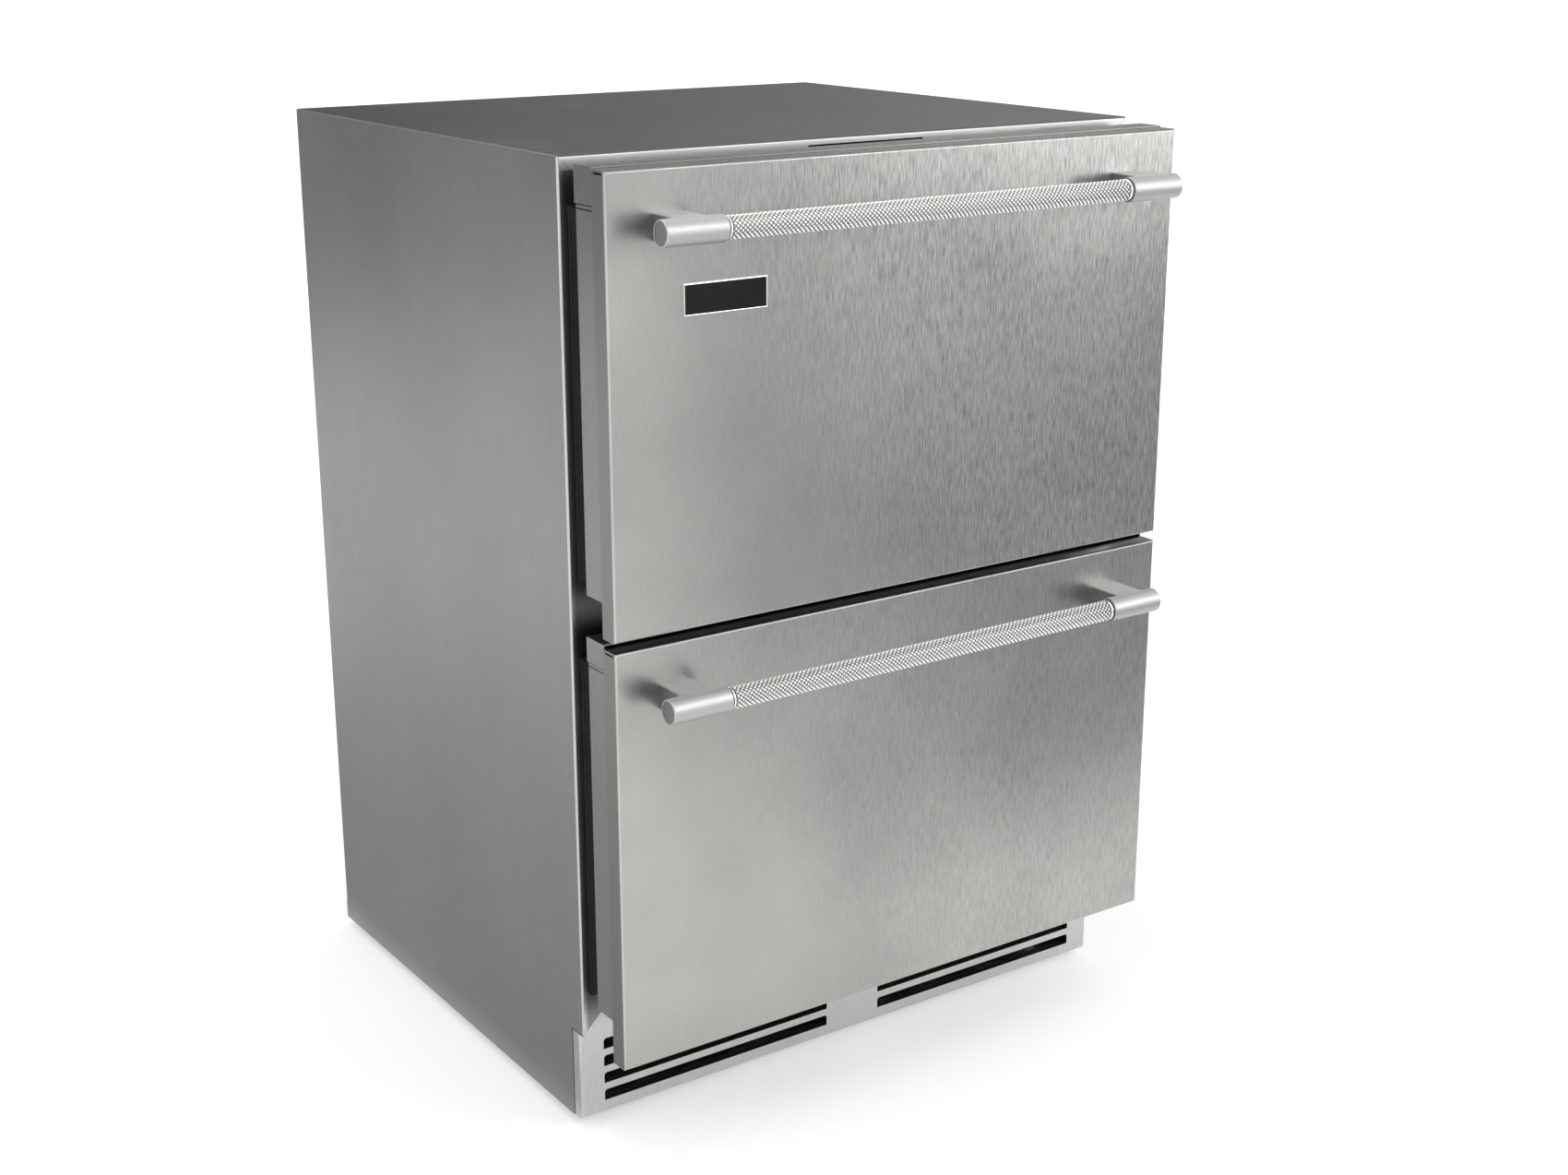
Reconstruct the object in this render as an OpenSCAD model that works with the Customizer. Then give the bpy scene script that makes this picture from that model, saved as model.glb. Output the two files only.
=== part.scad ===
// Undercounter drawer refrigerator with two drawers on telescopic slides.
// Millimetres, front towards -Y, right side towards +X, floor at Z = 0.
// Inside the modules Y = 0 is the plane of the cabinet's front flange and
// Z = 0 is the bottom edge of the cabinet; placed() moves them to the origin,
// which lies on the floor under the middle of the whole appliance.

/* [Cabinet] */
// Width across the sides
body_w = 606; // [596:1:640]
// Height of the body without its feet
body_h = 860.6; // [850:0.1:900]
// Depth from the front flange to the rear edge of the sides
body_d = 518.5; // [505:0.5:560]
// Thickness of the outer sheet
sheet_t = 1; // [0.8:0.1:1.2]
// Outer radius of the folds in the outer sheet
bend_r = 2; // [1.6:0.1:3]
// Insulated side wall, from outer face to liner
side_wall = 38; // [34:1:42]
// Insulated top wall, from outer face to liner
top_wall = 54; // [53.5:0.5:62]
// Insulated floor, from machine deck to liner
floor_wall = 54.5; // [54:0.5:60]
// Rear wall, from the rear edge of the sides to the liner
rear_wall = 40; // [36:1:46]
// Thickness of the liner sheet
liner_t = 1; // [0.8:0.1:1.5]
// How far the rear panels sit inside the rear edge
panel_inset = 2.5; // [2.4:0.1:4]
// Width of the rear flange that the panels are screwed to
rear_lip = 15; // [13:1:20]
// Width of the bottom hem that carries the base pan
bottom_hem = 15; // [10:1:20]
// Slit of a mitred corner
mitre_gap = 0.3; // [0.2:0.1:0.5]
// Depth of the return flange under the bottom front rail
rail_return = 12; // [8:1:16]
// Depth of the centre rail between the drawers
mullion_d = 32; // [20:1:40]

/* [Toe space] */
// Height of the toe space and of the notch in the sides
toe_h = 87.2; // [80:0.1:96]
// Depth of the notch in the sides
toe_d = 19.8; // [16:0.1:26]
// Seam between the grille and the bottom front rail
toe_seam = 0.8; // [0.4:0.1:2]
// Grille face behind the front flange
grille_setback = 7.5; // [4:0.5:10]
// Thickness of the grille sheet
grille_t = 1; // [0.8:0.1:1.5]
// Height of the grille's lower edge
grille_lift = 1.2; // [0.8:0.1:4]
// Seam between the grille's returns and the notch
grille_gap = 0.5; // [0.3:0.1:0.9]
// Outer radius of the grille's folds
grille_r = 1.8; // [1.6:0.1:3]
// Rows of slots
slot_rows = 4; // [2:1:4]
// Height of one slot
slot_h = 10.5; // [6:0.5:12]
// Distance from one slot to the next above
slot_pitch = 17.2; // [16:0.1:18]
// Lower edge of the lowest slot
slot_base = 12.7; // [11:0.1:16]
// Length of one slot
slot_len = 247.6; // [120:0.1:262]
// Width of the plain strip between the two groups
slot_bridge = 61.2; // [30:0.1:70]
// Radius of a slot's upper corners
slot_r = 3; // [1:0.5:4]
// Depth of the lip that is folded inward under a slot
slot_lip = 6; // [3:0.5:9]

/* [Machine bay] */
// Depth of the machine bay from the rear edge
bay_d = 215; // [205:1:225]
// Top of the machine bay above the bottom edge
bay_h = 262; // [250:1:270]
// Insulation round the bay
bay_wall = 38; // [32:1:44]
// Height of the base pan's upturned edges
pan_edge = 18; // [12:1:24]
// Height of the base pan's front edge, under the grille's slots
pan_front_edge = 8; // [4:0.5:9]
// How far the base pan's rear edge stands behind the sides
pan_tail = 1.5; // [1.2:0.1:3]
// Rear cover louvres
louvre_rows = 6; // [3:1:7]
// Height of one louvre
louvre_h = 5; // [3:0.5:8]
// Distance between louvres
louvre_pitch = 14; // [10:1:15]
// Length of a louvre
louvre_len = 200; // [100:5:240]
// Lowest louvre above the bottom edge
louvre_base = 120; // [100:5:140]
// Plain strip between the two groups of louvres
louvre_bridge = 60; // [40:5:80]
// Bore of the cord gland
gland_d = 9; // [7:0.5:11]
// Flange of the cord gland
gland_flange_d = 26; // [22:1:30]
// Body of the cord gland
gland_body_d = 17.6; // [14:0.2:19]
// Length of the gland's body
gland_len = 16; // [12:1:20]
// Gland inside the right side
gland_in = 93; // [70:1:130]
// Gland above the bottom edge
gland_z = 60; // [45:5:90]
// Width of the drain tray
tray_w = 84; // [70:1:86]
// Height of the drain tray
tray_h = 34; // [24:1:44]
// Wall of the drain tray
tray_wall = 2; // [1.5:0.5:3]
// Gap round the machinery
bay_gap = 6; // [3:1:8]
// Diameter of the filter drier
drier_d = 20; // [16:1:24]
// Length of the filter drier's body
drier_len = 90; // [70:5:100]
// Filter drier to the left of the middle
drier_x = 34; // [24:1:44]
// Filter drier below the liquid line's run
drier_drop = 30; // [20:1:40]

/* [Compressor] */
// Diameter of the compressor shell
comp_d = 146; // [120:1:160]
// Height of the compressor shell
comp_h = 168; // [140:1:175]
// Distance of its axis to the right of the middle
comp_x = 120; // [100:1:140]
// Spacing of its feet across the width
comp_feet_x = 170; // [160:1:190]
// Spacing of its feet from front to rear
comp_feet_y = 110; // [90:1:130]
// Height of a rubber mount
mount_h = 16; // [12:1:20]
// Diameter of a rubber mount
mount_d = 26; // [20:1:30]
// Thickness of the foot plate
foot_plate_t = 3; // [2:0.5:4]
// Diameter of the bolt through a rubber mount
mount_bolt_d = 8; // [6:1:10]
// Radius of the shell's rounded ends
comp_corner = 44; // [30:1:56]
// Height of the weld seam above the foot plate
comp_seam = 74; // [60:1:90]
// Width of the relay cover on the shell's side
relay_w = 56; // [44:1:64]
// Height of the relay cover
relay_h = 46; // [36:1:56]
// Depth of the relay cover outside the shell
relay_d = 24; // [16:1:30]
// Height of a pipe stub above the shell
stub_rise = 14; // [13:1:20]
// Distance of a pipe stub from the shell's axis
stub_spread = 24; // [16:1:30]

/* [Coils] */
// Diameter of the coil tubes
tube_d = 8; // [6:0.5:9.5]
// Spacing of the coil tubes
tube_pitch = 25; // [22:0.5:28]
// Tubes in height, condenser
cond_rows = 7; // [5:1:7]
// Length of the condenser between its end plates
cond_len = 150; // [130:1:151]
// Tubes in height, evaporator
evap_rows = 5; // [3:1:5]
// Length of the evaporator between its end plates
evap_len = 340; // [280:5:380]
// Distance between fins
fin_pitch = 12; // [8:1:20]
// Thickness of a fin
fin_t = 0.5; // [0.3:0.1:0.8]
// Margin of a fin outside the outer tubes
fin_margin = 12; // [8:1:12]
// Thickness of a coil's end plates
end_plate_t = 1.5; // [1:0.5:2]
// Diameter of the suction line
suction_d = 9.5; // [8:0.5:10]
// Diameter of the discharge and liquid lines
line_d = 6.4; // [4.8:0.2:8]
// Diameter of the capillary
capillary_d = 3; // [2:0.2:4]
// Bend radius of the suction line
suction_bend = 12; // [10:1:14]
// Bend radius of the other lines
line_bend = 8; // [6:1:9]
// Length of a coil's pipe stubs outside its end plate
coil_stub = 8; // [6:1:10]
// Suction line's run below the roof of the machine bay
line_level = 18; // [14:1:24]
// Distance from one line's run to the next below
level_step = 12; // [10:1:14]

/* [Fans] */
// Diameter of the condenser fan
cond_fan_d = 164; // [140:1:170]
// Diameter of the evaporator fan
evap_fan_d = 92; // [80:1:100]
// Blades of the condenser fan
cond_blades = 5; // [3:1:7]
// Blades of the evaporator fan
evap_blades = 7; // [5:1:9]
// Gap between blade tip and ring
tip_gap = 4; // [2:0.5:5]
// Width of a fan along its axis
fan_w = 20; // [16:1:22]
// Depth of the condenser fan's shroud
shroud_d = 24; // [18:1:30]
// Sheet of the shroud
shroud_t = 1.5; // [1:0.5:2]
// Width of the shroud's face round its opening
shroud_rim = 8; // [6:1:10]
// Gap between a fan and its motor
motor_gap = 3; // [2:0.5:5]
// Length of the condenser fan motor
cond_motor_len = 44; // [30:1:50]
// Length of shaft inside a motor
shaft_grip = 12; // [8:1:16]
// Width of the condenser motor's arms
arm_w = 10; // [6:1:14]
// Tilt of the blades
blade_tilt = 32; // [25:1:38]
// Thickness of a blade
blade_t = 2; // [1.5:0.5:3]
// Diameter of a fan shaft
shaft_d = 4; // [3:0.5:5]
// Radial clearance of a shaft in its bearing
shaft_clear = 0.05; // [0.02:0.01:0.1]
// Diameter of the condenser fan's hub
cond_hub_d = 50; // [40:1:70]
// Diameter of the condenser fan motor
cond_motor_d = 62; // [50:1:70]
// Diameter of the evaporator fan motor
evap_motor_d = 38; // [30:1:44]

/* [Evaporator cover] */
// Depth of the cover in front of the liner's rear wall
evap_d = 58; // [56:1:64]
// Width of the cover
evap_w = 440; // [430:5:460]
// Wall of the cover
cover_t = 1.5; // [1.2:0.1:2.5]
// Gap between the cover and the coil and fan behind it
cover_gap = 3; // [2:0.5:5]
// Fan axis below the cover's upper edge
fan_drop = 60; // [56:1:64]
// Number of spokes in the fan guard
guard_spokes = 4; // [3:1:6]
// Rings of openings in the fan guard
guard_rings = 3; // [2:1:3]
// Width of a bar of the guard
guard_bar = 4; // [3:0.5:5]
// Return air slots in the cover
return_slots = 11; // [5:2:13]
// Width of a return air slot
return_w = 8; // [5:1:12]
// Height of the return air slots
return_h = 70; // [40:5:90]
// Distance between return air slots
return_pitch = 26; // [20:1:30]

/* [Levelling legs] */
// Height of the feet below the cabinet at rest
foot_reach = 9; // [6:0.5:14]
// Diameter of a foot
foot_d = 32; // [26:1:40]
// Diameter of the threaded stem
stem_d = 10; // [8:1:12]
// Height of the stem above the foot
stem_h = 48; // [44:1:52]
// Clearance of the stem in its bush
stem_clear = 0.08; // [0.03:0.01:0.1]
// Height of the threaded bush
bush_h = 16; // [12:1:20]
// Diameter of the threaded bush
bush_d = 18; // [16:1:22]
// Height of a foot
foot_h = 8; // [5:0.5:8]
// Width of the hexagon between foot and stem
hex_d = 18; // [14:0.5:20]
// Clearance of the stem in the base pan
pan_clear = 1; // [0.5:0.1:2]
// Leg axis inside the side
leg_in = 38; // [36:1:50]
// Leg axis behind the front flange
leg_front = 52; // [48:1:70]
// Leg axis in front of the rear edge
leg_rear = 30; // [28:1:34]

/* [Drawer fronts] */
// How far a skin's edge stands inside the cabinet's side
side_reveal = 2.7; // [1:0.1:6]
// Depth of a skin's folded edges
skin_d = 18.9; // [16:0.1:22]
// Thickness of the skin sheet
skin_t = 1; // [0.8:0.1:1.2]
// Radius of the skin's front edges
skin_r = 2; // [1.6:0.1:3]
// Length of the open slit at each upper corner of a skin
slit_len = 13; // [8:1:15]
// Height of that slit
slit_h = 1.5; // [1:0.1:2]
// Depth of the slit from the side
slit_depth = 6; // [3:1:10]
// Depth of the inner panel behind the skin
box_d = 26.8; // [22:0.1:32]
// Gap between the inner panel and the flange
seal_gap = 22; // [18:0.5:26]
// Reveal above the upper drawer
top_reveal = 6.1; // [4:0.1:8]
// Gap between the two skins
drawer_gap = 8.7; // [7:0.1:12]
// How far the lower skin reaches below the notch's top
skin_drop = 3.1; // [0:0.1:6]
// Upper skin's overhang below its inner panel
upper_overhang = 30.6; // [26:0.1:36]
// Lower skin's overhang below its inner panel
lower_overhang = 39.6; // [36:0.1:44]
// Height of the upper drawer's top rail
upper_rail_h = 30.5; // [24:0.1:32]
// Height of the lower drawer's top rail
lower_rail_h = 22.2; // [18:0.1:26]
// Upper top rail's rise above its skin
upper_rail_rise = 1.5; // [0.5:0.1:3]
// Lower top rail's rise above its skin
lower_rail_rise = 3.5; // [0.5:0.1:4]
// Top rail's step behind the inner panel
rail_step = 2.2; // [1:0.1:4]
// Sheet of the top rail
rail_t = 1.2; // [0.8:0.1:2]

/* [Gaskets] */
// Distance of a gasket inside the inner panel's edge
gasket_inset = 4; // [2:0.5:5]
// Width of a gasket
gasket_w = 12; // [9:0.5:13]
// Width of the gasket's bellows
gasket_neck = 7; // [5:0.5:8]
// Height of the gasket's base and magnet layers
gasket_layer = 4; // [3:0.5:6]
// Gap between gasket and flange
gasket_clear = 0.3; // [0.2:0.05:0.5]
// Flange that shows inside a gasket
seal_land = 2; // [1.5:0.5:4]

/* [Handles] */
// Length of a handle
handle_len = 541; // [480:1:580]
// Axis in front of the skin
handle_stand = 33; // [28:0.5:40]
// Axis below the skin's upper edge
handle_drop = 46; // [36:0.5:56]
// Diameter of the end ferrules
ferrule_d = 22; // [21:0.5:26]
// Length of a ferrule
ferrule_len = 57.5; // [46:0.5:70]
// Diameter of the knurled grip
grip_d = 19.4; // [17:0.1:20]
// Width of the groove beside a ferrule
groove_w = 1.6; // [1:0.1:3]
// Depth of that groove
groove_d = 1.2; // [0.6:0.1:2]
// Diameter of the spigot inside a ferrule
spigot_d = 12; // [8:0.5:14]
// Length of the spigot
spigot_len = 16; // [10:1:20]
// Radial clearance of the spigot
spigot_clear = 0.05; // [0.02:0.01:0.1]
// Width of a standoff post
post_w = 31; // [26:0.5:36]
// Radius of a post's edges
post_r = 1.5; // [1:0.5:3]
// Recess in a ferrule's end
end_recess = 0.8; // [0.4:0.1:1.5]
// Wall of the ring round that recess
end_ring = 1.6; // [1:0.1:3]

/* [Badge] */
// Width of the badge plate
badge_w = 80.3; // [60:0.1:90]
// Height of the badge plate
badge_h = 25.7; // [18:0.1:30]
// Thickness of the badge plate
badge_t = 2; // [1.5:0.1:3]
// Badge inside the skin's left edge
badge_in = 69.8; // [50:0.1:90]
// Badge below the skin's upper edge
badge_drop = 92.8; // [88:0.1:110]
// Width of the badge's raised border
badge_rim = 1; // [0.8:0.1:2]
// Depth of the badge's face behind its border
badge_dish = 0.4; // [0.2:0.1:0.8]

/* [Controls] */
// Width of the control strip
strip_w = 122; // [90:1:140]
// Height of the control strip
strip_h = 30; // [26:0.5:32]
// Thickness of the control strip
strip_t = 1.2; // [1:0.1:2]
// Control strip's upper edge below the top
strip_drop = 5.6; // [4:0.1:8]
// Depth of the control module
module_d = 26; // [15:1:34]
// Rim of the strip round its window
strip_rim = 5; // [3:0.5:6]
// Gap round the module in the flange's window
window_gap = 0.3; // [0.2:0.1:0.5]
// Length of the light bar
light_len = 300; // [200:10:400]
// Width of the light bar
light_w = 14; // [10:1:18]
// Height of the light bar
light_h = 9; // [6:1:12]
// Light bar behind the front flange
light_y = 30; // [12:1:60]

/* [Drawers] */
// Width of one slide, from liner to bin
slide_w = 12.7; // [12.5:0.1:14]
// Height of the outer slide member
slide_h = 45; // [42:0.5:47]
// Length of the slides
slide_len = 400; // [360:5:400]
// Front end of the slides behind the flange
slide_y = 10; // [8:1:20]
// Sheet of the slides
slide_t = 1.2; // [1:0.1:1.4]
// Gap between nested slide members
slide_clear = 0.4; // [0.3:0.05:0.6]
// Slide axis below the bin's rim
slide_drop = 26; // [24:1:32]
// Length of the lips that hold the slide members together
slide_lip = 2.4; // [2:0.1:2.8]
// Gap between the outer member and the web of the inner one
slide_face_gap = 2.1; // [2:0.1:2.4]
// Bin above the opening's lower edge
bin_lift = 8; // [5:0.5:10]
// Bin below the opening's upper edge
bin_head = 28; // [22:1:36]
// Gap behind a bin
bin_rear_gap = 12; // [8:1:16]
// Sheet of a bin
bin_t = 1; // [0.8:0.1:1.5]
// Width of the rim folded in round a bin
bin_rim = 6; // [4:0.5:10]
// Vent slots in a bin's rear wall
vent_slots = 9; // [5:2:11]
// Distance between vent slots
vent_pitch = 40; // [30:1:42]
// Vent slots below the bin's rim
vent_drop = 16; // [12:1:22]
// Width of a vent slot
vent_w = 6; // [4:0.5:8]
// Height of a vent slot
vent_h = 26; // [16:1:34]

/* [Fasteners] */
// Diameter of a screw shank
screw_d = 3.5; // [3:0.5:5]
// Diameter of a screw head
head_d = 8; // [7:0.5:9]
// Height of a screw head
head_h = 2; // [1.5:0.1:2.3]
// Length of a screw shank
screw_len = 8; // [6:1:12]
// Radial clearance round a shank
screw_clear = 0.1; // [0.05:0.05:0.3]
// Screws of a bin to the left and right of the middle
bin_screw_x = 160; // [100:5:200]
// Screws of a bin below its rim and above its floor
bin_screw_in = 50; // [30:5:80]
// Rear screws from the edges of the rear panels
case_screw_in = 45; // [30:5:60]

/* [Hidden] */
$fn = 48;
eps = 0.01;
// How far a cut runs past the face it opens
past = 1;

// Colours
steel = [0.72, 0.72, 0.71];
case_steel = [0.60, 0.60, 0.59];
satin = [0.82, 0.82, 0.82];
zinc = [0.70, 0.72, 0.74];
black = [0.05, 0.05, 0.06];
copper = [0.72, 0.42, 0.28];
foam_tint = [0.90, 0.84, 0.62];
white = [0.93, 0.93, 0.92];
dark_paint = [0.12, 0.12, 0.13];

LOWER = 0;
UPPER = 1;

// Cabinet planes
body_hw = body_w / 2;
open_hw = body_hw - side_wall;
deck_z = toe_h + toe_seam;
open_bottom = deck_z + floor_wall;
open_top = body_h - top_wall;
liner_back = body_d - rear_wall;
panel_y = body_d - panel_inset;
panel_front = panel_y - sheet_t;
bay_y = body_d - bay_d;
hump_y = bay_y - bay_wall;
hump_z = bay_h + bay_wall;
lip_y = panel_front - sheet_t;
inner_hw = body_hw - sheet_t;
pan_z = 2 * sheet_t;

// Drawer planes: index 0 is the lower drawer and 1 the upper
skin_hw = body_hw - side_reveal;
lower_skin_z = toe_h - skin_drop;
skin_h = (body_h - top_reveal - drawer_gap - lower_skin_z) / 2;
skin_z = [lower_skin_z, lower_skin_z + skin_h + drawer_gap];
overhang = [lower_overhang, upper_overhang];
rail_h = [lower_rail_h, upper_rail_h];
rail_rise = [lower_rail_rise, upper_rail_rise];
box_back = -seal_gap;
skin_back = box_back - box_d;
skin_front = skin_back - skin_d;
box_hw = skin_hw - skin_t;
function skin_span(k) = [skin_z[k], skin_z[k] + skin_h];
function rail_span(k) = [skin_z[k] + skin_h + rail_rise[k] - rail_h[k], skin_z[k] + skin_h + rail_rise[k]];
function box_span(k) = [skin_z[k] + overhang[k], rail_span(k)[0]];

// Rail between the openings: it backs the lower gasket's top and the upper gasket's bottom
seal_reach = gasket_inset + gasket_w + seal_land;
mullion_z = [box_span(LOWER)[1] - seal_reach, box_span(UPPER)[0] + seal_reach];
opening_z = [[open_bottom, mullion_z[0]], [mullion_z[1], open_top]];

// Bins and slides
bin_hw = open_hw - slide_w;
bin_back = liner_back - evap_d - bin_rear_gap;
well_back = hump_y - bin_rear_gap;
shelf_z = hump_z + bin_lift;
function bin_span(k) = [opening_z[k][0] + bin_lift, opening_z[k][1] - bin_head];
function slide_z(k) = bin_span(k)[1] - slide_drop;

// Handles, badge and controls
handle_y = skin_front - handle_stand;
grip_hw = handle_len / 2 - ferrule_len;
ferrule_mid = handle_len / 2 - ferrule_len / 2;
function handle_z(k) = skin_span(k)[1] - handle_drop;
badge_x = -skin_hw + badge_in;
badge_top = skin_span(UPPER)[1] - badge_drop;
strip_top = body_h - strip_drop;

// Evaporator behind the upper bin
cover_z = [opening_z[UPPER][0] + bin_lift, bin_span(UPPER)[1] + bin_lift];
cover_y = liner_back - evap_d;
evap_fan_z = cover_z[1] - fan_drop;
evap_fan_y = cover_y + cover_t + cover_gap;
evap_motor_y = evap_fan_y + fan_w + motor_gap;
coil_depth = tube_pitch + 2 * fin_margin;
evap_coil_z = cover_z[0] + cover_t + cover_gap + fin_margin;
evap_coil_y = liner_back - coil_depth / 2;

// Machinery in the bay, from left to right
bay_mid_y = (bay_y + lip_y) / 2;
tray_x = [-inner_hw + bay_gap, -inner_hw + bay_gap + tray_w];
tray_y = [bay_y + bay_gap, body_d - leg_rear - bush_d / 2 - bay_gap];
cond_x = tray_x[1] + bay_gap + coil_depth / 2;
cond_z = pan_z + fin_margin;
shroud_x = cond_x + coil_depth / 2;
shroud_size = cond_fan_d + 2 * tip_gap + 2 * shroud_rim;
cond_fan_z = pan_z + shroud_size / 2;
cond_fan_x = shroud_x + shroud_d - fan_w / 2;
cond_motor_x = cond_fan_x + fan_w + motor_gap;
comp_z = pan_z + mount_h;
stub_z = comp_z + foot_plate_t + comp_h + stub_rise;

// Refrigerant lines: levels of their runs under the bay's roof, and the riser in the rear wall
suction_z = bay_h - line_level;
discharge_z = suction_z - level_step;
liquid_z = discharge_z - level_step;
riser_x = evap_w / 2 - cover_t - suction_d;
riser_y = (liner_back + liner_t + panel_front) / 2;
capillary_x = riser_x - suction_d - 2 * capillary_d;
capillary_z = liquid_z - 2 * line_bend;
evap_port_x = evap_len / 2 + end_plate_t + coil_stub;
cond_port_y = bay_mid_y + cond_len / 2 + end_plate_t + coil_stub;
bay_line_y = lip_y - drier_d / 2 - shroud_t;

gland_at = [body_hw - gland_in, gland_z];
cond_top_z = cond_z + (cond_rows - 1) * tube_pitch;
evap_top_z = evap_coil_z + (evap_rows - 1) * tube_pitch;
drier_z = [liquid_z - drier_drop - drier_len, liquid_z - drier_drop];

// The appliance's reach from front to rear
y_front = handle_y - ferrule_d / 2;
y_back = body_d + pan_tail;

module placed() translate([0, -(y_front + y_back) / 2, foot_reach]) children();

// ---- Small shared shapes -------------------------------------------------

function both(half) = [-half, half];
function about(centre, half) = [centre - half, centre + half];
function grow(span, by) = [span[0] - by, span[1] + by];

// Box from three spans
module block(x, y, z)
    translate([x[0], y[0], z[0]])
        cube([x[1] - x[0], y[1] - y[0], z[1] - z[0]]);

// A flat outline drawn in (y, z) and carried along X, in (x, z) along Y, in (x, y) along Z
module along_x(span)
    translate([span[0], 0, 0])
        rotate([90, 0, 90])
            linear_extrude(span[1] - span[0]) children();

module along_y(span)
    translate([0, span[1], 0])
        rotate([90, 0, 0])
            linear_extrude(span[1] - span[0]) children();

module along_z(span)
    translate([0, 0, span[0]])
        linear_extrude(span[1] - span[0]) children();

module both_sides() {
    children();
    mirror([1, 0, 0]) children();
}

// Rectangle with chosen corners rounded, in the order low-low, high-low, high-high, low-high
module round_rect(a, b, r, corners = [1, 1, 1, 1]) {
    spots = [[0, 0, 1, 1], [1, 0, -1, 1], [1, 1, -1, -1], [0, 1, 1, -1]];
    difference() {
        translate([a[0], b[0]]) square([a[1] - a[0], b[1] - b[0]]);
        for (i = [0:3])
            if (corners[i] == 1) {
                s = spots[i];
                translate([a[s[0]] + s[2] * r, b[s[1]] + s[3] * r])
                    difference() {
                        translate([s[2] > 0 ? -r - past : 0, s[3] > 0 ? -r - past : 0]) square(r + past);
                        circle(r);
                    }
            }
    }
}

// Block whose four front edges are rounded, as a folded sheet's are
module front_form(x, y, z, r)
    intersection() {
        along_z(z) round_rect(x, y, r, [1, 1, 0, 0]);
        along_x(x) round_rect(y, z, r, [1, 0, 0, 1]);
    }

// Shallow pan of folded sheet, open at the rear
module folded_pan(x, y, z, t, r)
    difference() {
        front_form(x, y, z, r);
        front_form(grow(x, -t), [y[0] + t, y[1] + past], grow(z, -t), r - t);
    }

// Row of n equal places, centred on zero
function row(n, pitch) = [for (i = [0:n - 1]) (i - (n - 1) / 2) * pitch];

// Tube along straight runs between points, with a round bend at each inner point
module pipe(points, d, bend) {
    last = len(points) - 1;
    along = [for (i = [0:last - 1]) unit(points[i + 1] - points[i])];
    turn = [for (i = [0:last]) i == 0 || i == last ? 0 : acos(along[i - 1] * along[i])];
    trim = [for (t = turn) bend * tan(t / 2)];
    for (i = [0:last - 1])
        aimed(points[i] + along[i] * trim[i], along[i])
            cylinder(d = d, h = norm(points[i + 1] - points[i]) - trim[i] - trim[i + 1]);
    for (i = [1:last - 1]) {
        side = unit(along[i] - along[i - 1] * (along[i] * along[i - 1]));
        start = points[i] - along[i - 1] * trim[i];
        framed(start + side * bend, -side, along[i - 1])
            rotate_extrude(angle = turn[i]) translate([bend, 0]) circle(d = d);
    }
}

function unit(v) = v / norm(v);

// Children's Z axis turned to the given direction
module aimed(at, v)
    translate(at) rotate([0, acos(v[2]), atan2(v[1], v[0])]) children();

// Children's X and Y axes laid along two square directions
module framed(at, x, y) {
    z = cross(x, y);
    multmatrix([for (i = [0:2]) [x[i], y[i], z[i], at[i]]]) children();
}

// ---- Cabinet ------------------------------------------------------------

// Outline of the folded cabinet, drawn in by the given amount on every side
module case_form(in) {
    x = both(body_hw - in);
    y = [in, body_d + past];
    z = [-past, body_h - in];
    intersection() {
        along_z(z) round_rect(x, y, bend_r - in, [1, 1, 0, 0]);
        along_x(both(body_hw)) round_rect(y, z, bend_r - in, [0, 0, 0, 1]);
        along_y([0, body_d + past]) round_rect(x, z, bend_r - in, [0, 0, 1, 1]);
    }
}

// Front view of the flange's lower corners, cut at 45 degrees
module rail_outline(gap)
    polygon([
        [-body_hw - gap, deck_z], [-open_hw - gap, deck_z + side_wall], [-open_hw - gap, open_bottom],
        [open_hw + gap, open_bottom], [open_hw + gap, deck_z + side_wall], [body_hw + gap, deck_z]
    ]);

module outer_wrap() {
    color(case_steel) placed() {
        difference() {
            intersection() {
                case_form(0);
                block(both(body_hw), [0, body_d], [0, body_h]);
            }
            difference() {
                case_form(sheet_t);
                block(both(body_hw), [lip_y, panel_front], [0, body_h]);
                both_sides() block([inner_hw - bottom_hem, body_hw], [toe_d, lip_y], [0, sheet_t]);
            }
            block(both(inner_hw - rear_lip), [lip_y - past, body_d], [-past, body_h - sheet_t - rear_lip]);
            block(both(inner_hw), [lip_y - past, body_d + past], [-past, pan_z + pan_edge]);
            block(both(open_hw), [-past, sheet_t + eps], [open_bottom, open_top]);
            block(both(body_hw + past), [-past, toe_d], [-past, toe_h]);
            along_y([-past, bend_r]) rail_outline(mitre_gap);
            block(both(body_hw + past), [-past, bend_r], [-past, deck_z]);
            both_sides()
                translate([body_hw, 0, body_h])
                    rotate([0, -45, 0])
                        block([-side_wall * sqrt(2), 0], [-past, mitre_gap], both(mitre_gap / 2));
            window_cut();
            case_shanks(screw_clear);
        }
    }
}

module window_cut()
    block(both(strip_w / 2 - strip_rim), [-past, sheet_t + past],
          grow([strip_top - strip_h, strip_top], -strip_rim));

module bottom_rail() {
    color(case_steel) placed() {
        along_y([0, sheet_t]) rail_outline(0);
        block(both(inner_hw - bend_r), [0, rail_return], [deck_z, deck_z + sheet_t]);
    }
}

module mullion() {
    color(case_steel) placed()
        difference() {
            along_x(both(open_hw)) round_rect([0, mullion_d], mullion_z, bend_r, [1, 0, 0, 1]);
            along_x(both(open_hw + past)) mullion_inside(bend_r - sheet_t);
        }
}

module mullion_inside(r)
    round_rect([sheet_t, mullion_d - sheet_t], grow(mullion_z, -sheet_t), r, [1, 0, 0, 1]);

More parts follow.
